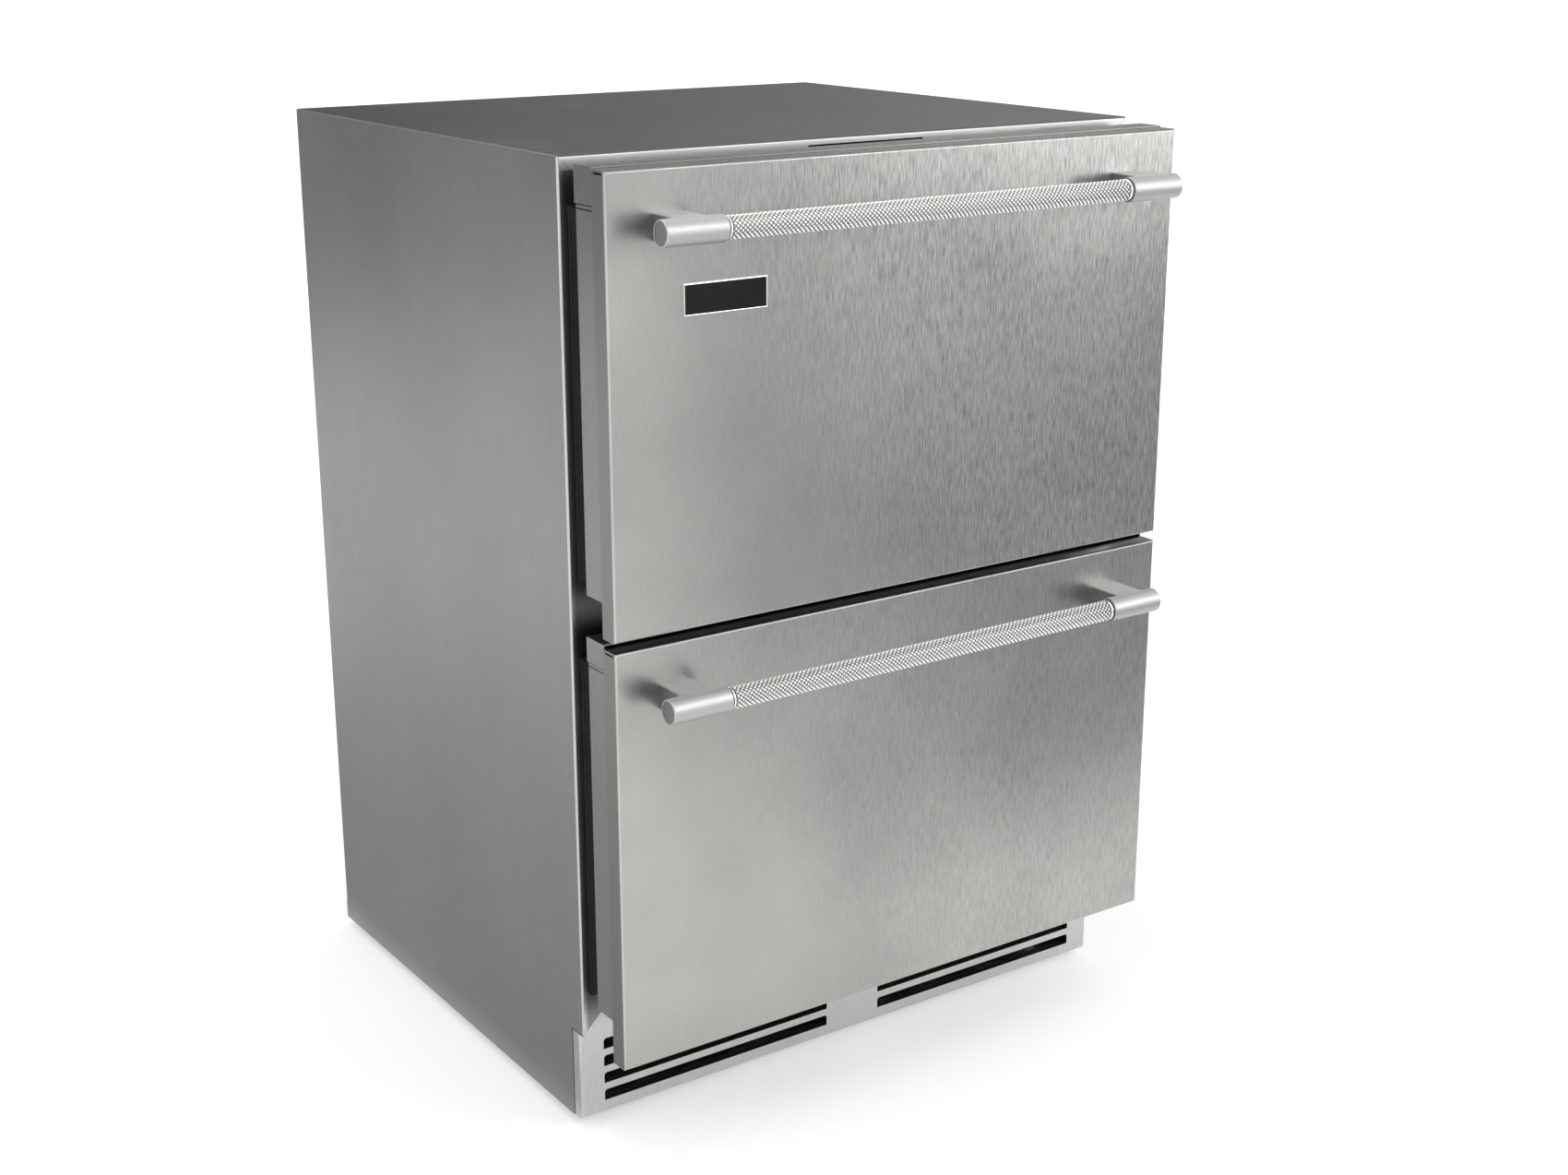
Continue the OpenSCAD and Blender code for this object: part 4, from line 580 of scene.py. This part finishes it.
def knurled_bar(name, node, finish, body):
    """Bar along X: radius = rod + depth * min(t(u + v), t(u - v)), cut flat near its top. u counts pitches along the
    bar, v counts starts round it, and t rises from 0 to 1 and falls back, so that the grooves cross as diamonds."""
    middle = np.array(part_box(node)).mean(0)
    pitch, pitches, starts, per_pitch = 0.0044, 95, 14, 6
    rod, depth, flat_crest, fade = 0.0087, 0.0010, 0.84, 0.0006
    half = pitches * pitch / 2
    i, j = np.arange(pitches * per_pitch + 1), np.arange(starts * per_pitch)
    u, v = np.meshgrid(i / per_pitch, j / per_pitch, indexing="ij")

    def rise(turns):
        return 1 - np.abs(2 * (turns % 1) - 1)

    diamonds = np.minimum(np.minimum(rise(u + v), rise(u - v)), flat_crest) / flat_crest
    knurl_x = -half + i * pitch / per_pitch
    run_out = np.clip((half - np.abs(knurl_x)) / fade, 0, 1)
    radius = rod + depth * diamonds * run_out[:, None]

    # Each end as (distance from the middle, radius): spigot, shoulder and a plain collar before the knurl.
    reach, spigot, core = 0.2130, 0.006, 0.0085
    end_x, end_r = np.array([
        (reach + 0.016, 0.0001), (reach + 0.016, spigot), (reach, spigot), (reach, core),
        (reach - 0.0014, core), (reach - 0.0016, 0.00955), (reach - 0.0027, 0.0097)]).T
    x = np.concatenate([-end_x, knurl_x, end_x[::-1]])
    flat = np.repeat(end_r[:, None], len(j), 1)
    radius = np.concatenate([flat, radius, flat[::-1]])
    turn = 2 * np.pi * j / len(j)
    points = np.stack([
        np.repeat(middle[0] + x[:, None], len(j), 1),
        middle[1] + radius * np.cos(turn), middle[2] + radius * np.sin(turn)], -1)
    caps = [np.arange(len(j))[None, ::-1], (len(x) - 1) * len(j) + np.arange(len(j))[None]]
    bar = piece_from(name, points, [strip_faces(len(x), len(j)), *caps], finish, body)
    # The finish reads each point's height on the knurl, from 0 in the grooves to 1 on the flats.
    crest = bar.data.attributes.new("crest", "FLOAT", "POINT")
    crest.data.foreach_set("value", ((radius - rod) / depth).clip(0, 1).ravel())
    # The skins would mirror the grip as a dark band, which the photograph doesn't show.
    bar.visible_glossy = False
    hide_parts(node)


def ferrule_recess(tree):
    """Painted shade, at part strength, on the faces along X that lie inside a ferrule's raised end ring."""
    ring_x, darkness = 0.2702, 0.5
    inside = maths(tree, "LESS_THAN", maths(tree, "ABSOLUTE", place(tree)[1]["X"]), ring_x)
    return maths(tree, "MULTIPLY", maths(tree, "MULTIPLY", placed_group(tree, FOLDS)["Side"], inside), darkness)


satin_steel = brushed_steel(
    "satin_steel", (0.41, 0.41, 0.41), (0.49, 0.49, 0.487),
    rough=0.5, contrast=0.25, fold=0.3, width=0.0004, length=0.002, shadow=ferrule_recess)
dress(satin_steel, "upper_handle_posts", "lower_handle_posts")
knurl_steel, tree, shader = new_finish("knurl_steel", Metallic=1.0)
crest = tree.nodes.new("ShaderNodeAttribute")
crest.attribute_name = "crest"
patches = placed_group(tree, WEAR, Size=0.02)["Patches"]
# Painted shade and highlight: the grooves are painted near black and the crests near white.
painted_knurl_light = spread(tree, crest.outputs["Fac"], 0.2, 0.55)
tree.links.new(tint(tree, painted_knurl_light, (0.04, 0.04, 0.04), (0.97, 0.97, 0.965)), shader.inputs["Base Color"])
tree.links.new(spread(tree, patches, 0, 1, 0.22, 0.34), shader.inputs["Roughness"])
raised(tree, shader, placed_group(tree, MOULDED, Size=0.0004)["Height"], strength=0.2, distance=0.00002)
for drawer in ("upper", "lower"):
    knurled_bar(f"{drawer}_knurled_bar", f"{drawer}_handle_grip", knurl_steel, f"{drawer}_drawer")


# ---- Badge -----------------------------------------------------------------------
# A small plate stuck to the upper skin: a black gloss face in a thin raised border
# of polished metal. The face is left bare.

def plate_face(name, corners, y, finish, body):
    """A face at y, gridded in X and Z, that bulges forward by 0.05 mm as the product of two sines."""
    (x0, z0), (x1, z1) = corners
    columns, rows, bulge = 25, 11, 0.05 * MM
    u, v = np.meshgrid(np.linspace(0, 1, columns), np.linspace(0, 1, rows), indexing="ij")
    points = np.stack([
        x0 + (x1 - x0) * u, y - bulge * np.sin(np.pi * u) * np.sin(np.pi * v), z0 + (z1 - z0) * v], -1)
    i, j = np.meshgrid(np.arange(columns - 1), np.arange(rows - 1), indexing="ij")
    first, after = i * rows + j, (i + 1) * rows + j
    quads = np.stack([first, after, after + 1, first + 1], -1).reshape(-1, 4)
    piece_from(name, points, [quads], finish, body)


badge_low, badge_high = np.array(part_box("badge_plate"))
front, back = badge_low[1], badge_high[1]
border_metal, tree, shader = new_finish("border_metal", Metallic=1.0)
patches = placed_group(tree, WEAR, Size=0.01)["Patches"]
tree.links.new(tint(tree, patches, (0.8, 0.8, 0.8), (0.66, 0.66, 0.66)), shader.inputs["Base Color"])
tree.links.new(spread(tree, patches, 0, 1, 0.12, 0.3), shader.inputs["Roughness"])
badge_gloss = moulded(
    "badge_gloss", (0.006, 0.006, 0.007), (0.011, 0.011, 0.012),
    rough=0.25, size=0.0004, depth=0.000004, Specular_IOR_Level=0.2)
framed_loop(
    "badge_border",
    [(1.0 * MM, back), (1.0 * MM, front + 0.3 * MM), (0.88 * MM, front + 0.1 * MM), (0.65 * MM, front),
     (0.35 * MM, front), (0.12 * MM, front + 0.1 * MM), (0, front + 0.35 * MM), (0, back)],
    "badge_plate", border_metal, "upper_drawer")
face_corners = badge_low[[0, 2]] + 0.9 * MM, badge_high[[0, 2]] - 0.9 * MM
plate_face("badge_face", face_corners, front + 0.4 * MM, badge_gloss, "upper_drawer")


# ---- Toe grille -----------------------------------------------------------------
# One folded stainless sheet under the drawers, with eight slots punched through it
# and a lip folded inward under each slot.

grille_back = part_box("toe_grille")[1][1]
# Painted shade: the faces along X are darkened, and a dark line is painted in the gap at the returns' rear edge.
grille_steel = brushed_steel(
    "grille_steel", (0.44, 0.436, 0.428), (0.60, 0.595, 0.585),
    rough=0.3, contrast=0.5, side_shade=0.3,
    shadow=lambda tree: near_planes(tree, "Y", [grille_back], half=0.0006))
dress(grille_steel, "toe_grille")


# ---- Controls and light --------------------------------------------------------
# A gloss black strip in the top flange covers the control module behind it. The light
# under the liner's roof has a frosted lens with fine ribs across it.

strip_gloss = moulded(
    "strip_gloss", (0.004, 0.004, 0.005), (0.008, 0.008, 0.009),
    rough=0.25, size=0.0004, depth=0.000004, Specular_IOR_Level=0.1)
dress(strip_gloss, "control_strip")
module_plastic = moulded(
    "module_plastic", (0.028, 0.028, 0.03), (0.05, 0.05, 0.053),
    rough=0.5, size=0.0006, depth=0.00008)
dress(module_plastic, "control_module")
lens_plastic = moulded(
    "lens_plastic", (0.80, 0.81, 0.80), (0.90, 0.90, 0.89),
    rough=0.35, size=0.0006, depth=0.00003, Subsurface_Weight=0.3, Coat_Weight=0.2)
tree = lens_plastic.node_tree
rib_pitch = 3 * MM
ribs = maths(tree, "SINE", maths(tree, "MULTIPLY", place(tree)[1]["X"], 2 * np.pi / rib_pitch))
raised(tree, tree.nodes["Principled BSDF"], ribs, strength=0.6, distance=0.0003)
dress(lens_plastic, "light_bar")


# ---- Liner and bins -------------------------------------------------------------
# The liner and both bins are folded from thin stainless sheet with a fine grain.
# Slots in the rear of each bin let the cold air through.

liner_steel = brushed_steel(
    "liner_steel", (0.40, 0.397, 0.39), (0.56, 0.555, 0.545),
    rough=0.36, contrast=0.45, width=0.0006, length=0.02)
dress(liner_steel, "inner_liner")
bin_steel = brushed_steel(
    "bin_steel", (0.42, 0.417, 0.41), (0.62, 0.615, 0.605),
    rough=0.3, contrast=0.5, width=0.0006, length=0.014)
dress(bin_steel, "upper_bin", "lower_bin")


# ---- Slides, screws and bushes -----------------------------------------------------
# Each slide has three members rolled from zinc plated strip, one inside the other. The
# screws and the threaded bushes of the legs are plated in the same way.

def plated(name, dark, light, rough, size):
    """Zinc plate: cloudy colour with a painted highlight along the bends, patches in the gloss and a very fine orange
    peel.
    """
    finish, tree, shader = new_finish(name, Metallic=1.0)
    grain = placed_group(tree, MOULDED, Size=size / 25)
    faces = placed_group(tree, FOLDS)
    patches = placed_group(tree, WEAR, Size=size)["Patches"]
    # Painted highlight along the bends.
    value = maths(tree, "ADD", grain["Mottle"], maths(tree, "MULTIPLY", faces["Fold"], 0.4), clamp=True)
    tree.links.new(tint(tree, value, dark, light), shader.inputs["Base Color"])
    tree.links.new(spread(tree, patches, 0, 1, rough, rough + 0.16), shader.inputs["Roughness"])
    raised(tree, shader, grain["Height"], strength=0.3, distance=0.00002)
    return finish


slide_zinc = plated("slide_zinc", (0.44, 0.455, 0.47), (0.60, 0.615, 0.63), rough=0.28, size=0.03)
for drawer in ("upper", "lower"):
    dress(slide_zinc, f"{drawer}_outer_slides", f"{drawer}_middle_slides", f"{drawer}_inner_slides")
screw_zinc = plated("screw_zinc", (0.50, 0.515, 0.52), (0.68, 0.69, 0.70), rough=0.24, size=0.01)
dress(screw_zinc, "upper_bin_screws", "lower_bin_screws", "case_screws", "leg_bushes")


# ---- Levelling legs --------------------------------------------------------------
# Four plated feet on threaded stems. The hexagon above each foot takes a wrench, and
# the thread is a helix of 1.5 mm pitch round each stem.

leg_zinc = plated("leg_zinc", (0.42, 0.43, 0.44), (0.60, 0.61, 0.62), rough=0.34, size=0.02)
tree = leg_zinc.node_tree
thread_pitch, stem_reach, hexagon_top = 1.5 * MM, 6 * MM, 10.5 * MM
front_left, rear_right = (np.array(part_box(name)).mean(0) for name in ("leg_front_left", "leg_rear_right"))
point = place(tree)[1]
rear = maths(tree, "GREATER_THAN", point["Y"], (front_left[1] + rear_right[1]) / 2)
stem_y = maths(tree, "ADD", front_left[1], maths(tree, "MULTIPLY", rear, rear_right[1] - front_left[1]))
off_x = maths(tree, "SUBTRACT", maths(tree, "ABSOLUTE", point["X"]), rear_right[0])
off_y = maths(tree, "SUBTRACT", point["Y"], stem_y)
turns = maths(tree, "DIVIDE", maths(tree, "ARCTAN2", off_y, off_x), 2 * np.pi)
helix = maths(tree, "PINGPONG", maths(tree, "ADD", maths(tree, "DIVIDE", point["Z"], thread_pitch), turns), 0.5)
reach = maths(tree, "ADD", maths(tree, "MULTIPLY", off_x, off_x), maths(tree, "MULTIPLY", off_y, off_y))
near = maths(tree, "LESS_THAN", reach, stem_reach ** 2)
above = maths(tree, "GREATER_THAN", point["Z"], hexagon_top)
thread = maths(tree, "MULTIPLY", helix, maths(tree, "MULTIPLY", near, above))
raised(tree, tree.nodes["Principled BSDF"], thread, strength=1.0, distance=0.0016)
dress(leg_zinc, "leg_front_left", "leg_front_right", "leg_rear_left", "leg_rear_right")


# ---- Rear sheets and base pan ------------------------------------------------------
# The back panel, the rear cover with its louvres, the housing over the machine bay, the
# base pan, the baffle and the fan shroud are bent from galvanised sheet.

def zinc_spangle():
    """Crystals of a hot dipped coat: each cell of a Voronoi pattern of the given size has a grey of its own."""
    tree, start, end = group_of("zinc_spangle", [("Size", 0.012)], ["Crystal", "Seam"])
    cells = []
    for feature in ("F1", "DISTANCE_TO_EDGE"):
        cell = tree.nodes.new("ShaderNodeTexVoronoi")
        cell.feature = feature
        cell.inputs["Scale"].default_value = 1.0
        tree.links.new(scaled_place(tree, start.outputs["Size"]), cell.inputs["Vector"])
        cells.append(cell)
    grey = tree.nodes.new("ShaderNodeSeparateColor")
    tree.links.new(cells[0].outputs["Color"], grey.inputs[0])
    tree.links.new(grey.outputs[0], end.inputs["Crystal"])
    tree.links.new(spread(tree, cells[1].outputs["Distance"], 0.0, 0.05), end.inputs["Seam"])
    return tree


SPANGLE = zinc_spangle()


def galvanised(name, dark, light, size):
    """Galvanised sheet: crystals in colour and gloss, faint seams in the height, and dull patches."""
    finish, tree, shader = new_finish(name, Metallic=1.0)
    crystals = placed_group(tree, SPANGLE, Size=size)
    patches = placed_group(tree, WEAR, Size=0.12)["Patches"]
    tree.links.new(tint(tree, crystals["Crystal"], dark, light), shader.inputs["Base Color"])
    gloss = maths(tree, "ADD", spread(tree, crystals["Crystal"], 0, 1, 0.36, 0.5),
                  maths(tree, "MULTIPLY", patches, 0.15))
    tree.links.new(gloss, shader.inputs["Roughness"])
    raised(tree, shader, crystals["Seam"], strength=0.15, distance=0.00005)
    return finish


back_zinc = galvanised("back_zinc", (0.34, 0.35, 0.36), (0.44, 0.45, 0.46), size=0.012)
dress(back_zinc, "back_panel", "rear_cover", "bay_housing")
pan_zinc = galvanised("pan_zinc", (0.30, 0.31, 0.32), (0.42, 0.43, 0.44), size=0.009)
dress(pan_zinc, "base_pan", "air_baffle", "condenser_fan_shroud")
gland_plastic = moulded(
    "gland_plastic", (0.02, 0.02, 0.021), (0.04, 0.04, 0.042),
    rough=0.45, size=0.0005, depth=0.00006)
dress(gland_plastic, "cord_gland", "drain_tray")


# ---- Evaporator -------------------------------------------------------------------
# A finned coil stands behind a white moulded cover at the rear of the upper drawer, and
# a small fan blows through the guard in the cover.

def finned_coil(name, node, along):
    """Aluminium fins on copper tubes: copper where the distance to the nearest tube line is under the tube's radius,
    or past the end plates. The tubes lie along one axis, 25 mm apart, in two columns."""
    half_gap, tube_radius = 12.5 * MM, 4.3 * MM
    fin_margin, bend_reach = 12 * MM, 16.4 * MM
    finish, tree, shader = new_finish(name, Metallic=1.0)
    low, high = np.array(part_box(node))
    middle = (low + high) / 2
    point = place(tree)[1]
    run, cross = (0, 1) if along == "X" else (1, 0)
    ends = maths(tree, "ABSOLUTE", maths(tree, "SUBTRACT", point[run], middle[run]))
    side = maths(tree, "ABSOLUTE", maths(tree, "SUBTRACT", point[cross], middle[cross]))
    side = maths(tree, "SUBTRACT", side, half_gap)
    rise = maths(tree, "PINGPONG", maths(tree, "SUBTRACT", point["Z"], low[2] + fin_margin), half_gap)
    distance = maths(tree, "ADD", maths(tree, "MULTIPLY", side, side), maths(tree, "MULTIPLY", rise, rise))
    tube = maths(tree, "LESS_THAN", distance, tube_radius ** 2)
    past = maths(tree, "GREATER_THAN", ends, (high - low)[run] / 2 - bend_reach)
    copper_mask = maths(tree, "MAXIMUM", tube, past)
    grain = placed_group(tree, MOULDED, Size=0.0008)
    patches = placed_group(tree, WEAR, Size=0.05)["Patches"]
    fins = tint(tree, grain["Mottle"], (0.50, 0.51, 0.52), (0.66, 0.67, 0.68))
    pipes = tint(tree, patches, (0.62, 0.31, 0.18), (0.38, 0.17, 0.10))
    tree.links.new(tint(tree, copper_mask, fins, pipes), shader.inputs["Base Color"])
    tree.links.new(spread(tree, patches, 0, 1, 0.32, 0.5), shader.inputs["Roughness"])
    raised(tree, shader, grain["Height"], strength=0.3, distance=0.00003)
    return finish


evaporator_metal = finned_coil("evaporator_metal", "evaporator_coil", along="X")
dress(evaporator_metal, "evaporator_coil")
cover_plastic = moulded(
    "cover_plastic", (0.70, 0.70, 0.69), (0.80, 0.80, 0.79),
    rough=0.4, size=0.0007, depth=0.00006)
dress(cover_plastic, "evaporator_cover")
fan_plastic = moulded(
    "fan_plastic", (0.04, 0.04, 0.043), (0.07, 0.07, 0.074),
    rough=0.42, size=0.0006, depth=0.00005)
dress(fan_plastic, "evaporator_fan", "condenser_fan")
motor_plastic = moulded(
    "motor_plastic", (0.018, 0.018, 0.02), (0.035, 0.035, 0.038),
    rough=0.5, size=0.0006, depth=0.0001)
dress(motor_plastic, "evaporator_fan_motor", "condenser_fan_motor")


# ---- Condensing unit ------------------------------------------------------------------
# The machine bay at the rear holds the compressor on rubber mounts, the condenser coil
# with its fan, and the copper lines that run up to the evaporator.

condenser_metal = finned_coil("condenser_metal", "condenser_coil", along="Y")
dress(condenser_metal, "condenser_coil")
shell_paint = moulded(
    "shell_paint", (0.014, 0.014, 0.015), (0.03, 0.03, 0.032),
    rough=0.34, size=0.0016, depth=0.00012, Coat_Weight=0.25, Coat_Roughness=0.2)
dress(shell_paint, "compressor")
mount_rubber = moulded(
    "mount_rubber", (0.014, 0.014, 0.014), (0.03, 0.03, 0.03),
    rough=0.75, size=0.0006, depth=0.0001)
dress(mount_rubber, "compressor_mounts")
line_copper, tree, shader = new_finish("line_copper", Metallic=1.0)
patches = placed_group(tree, WEAR, Size=0.03)["Patches"]
grain = placed_group(tree, MOULDED, Size=0.0006)
tree.links.new(tint(tree, patches, (0.66, 0.33, 0.19), (0.36, 0.16, 0.09)), shader.inputs["Base Color"])
tree.links.new(spread(tree, patches, 0, 1, 0.26, 0.5), shader.inputs["Roughness"])
raised(tree, shader, grain["Height"], strength=0.2, distance=0.00003)
dress(line_copper, "refrigerant_lines", "filter_drier")
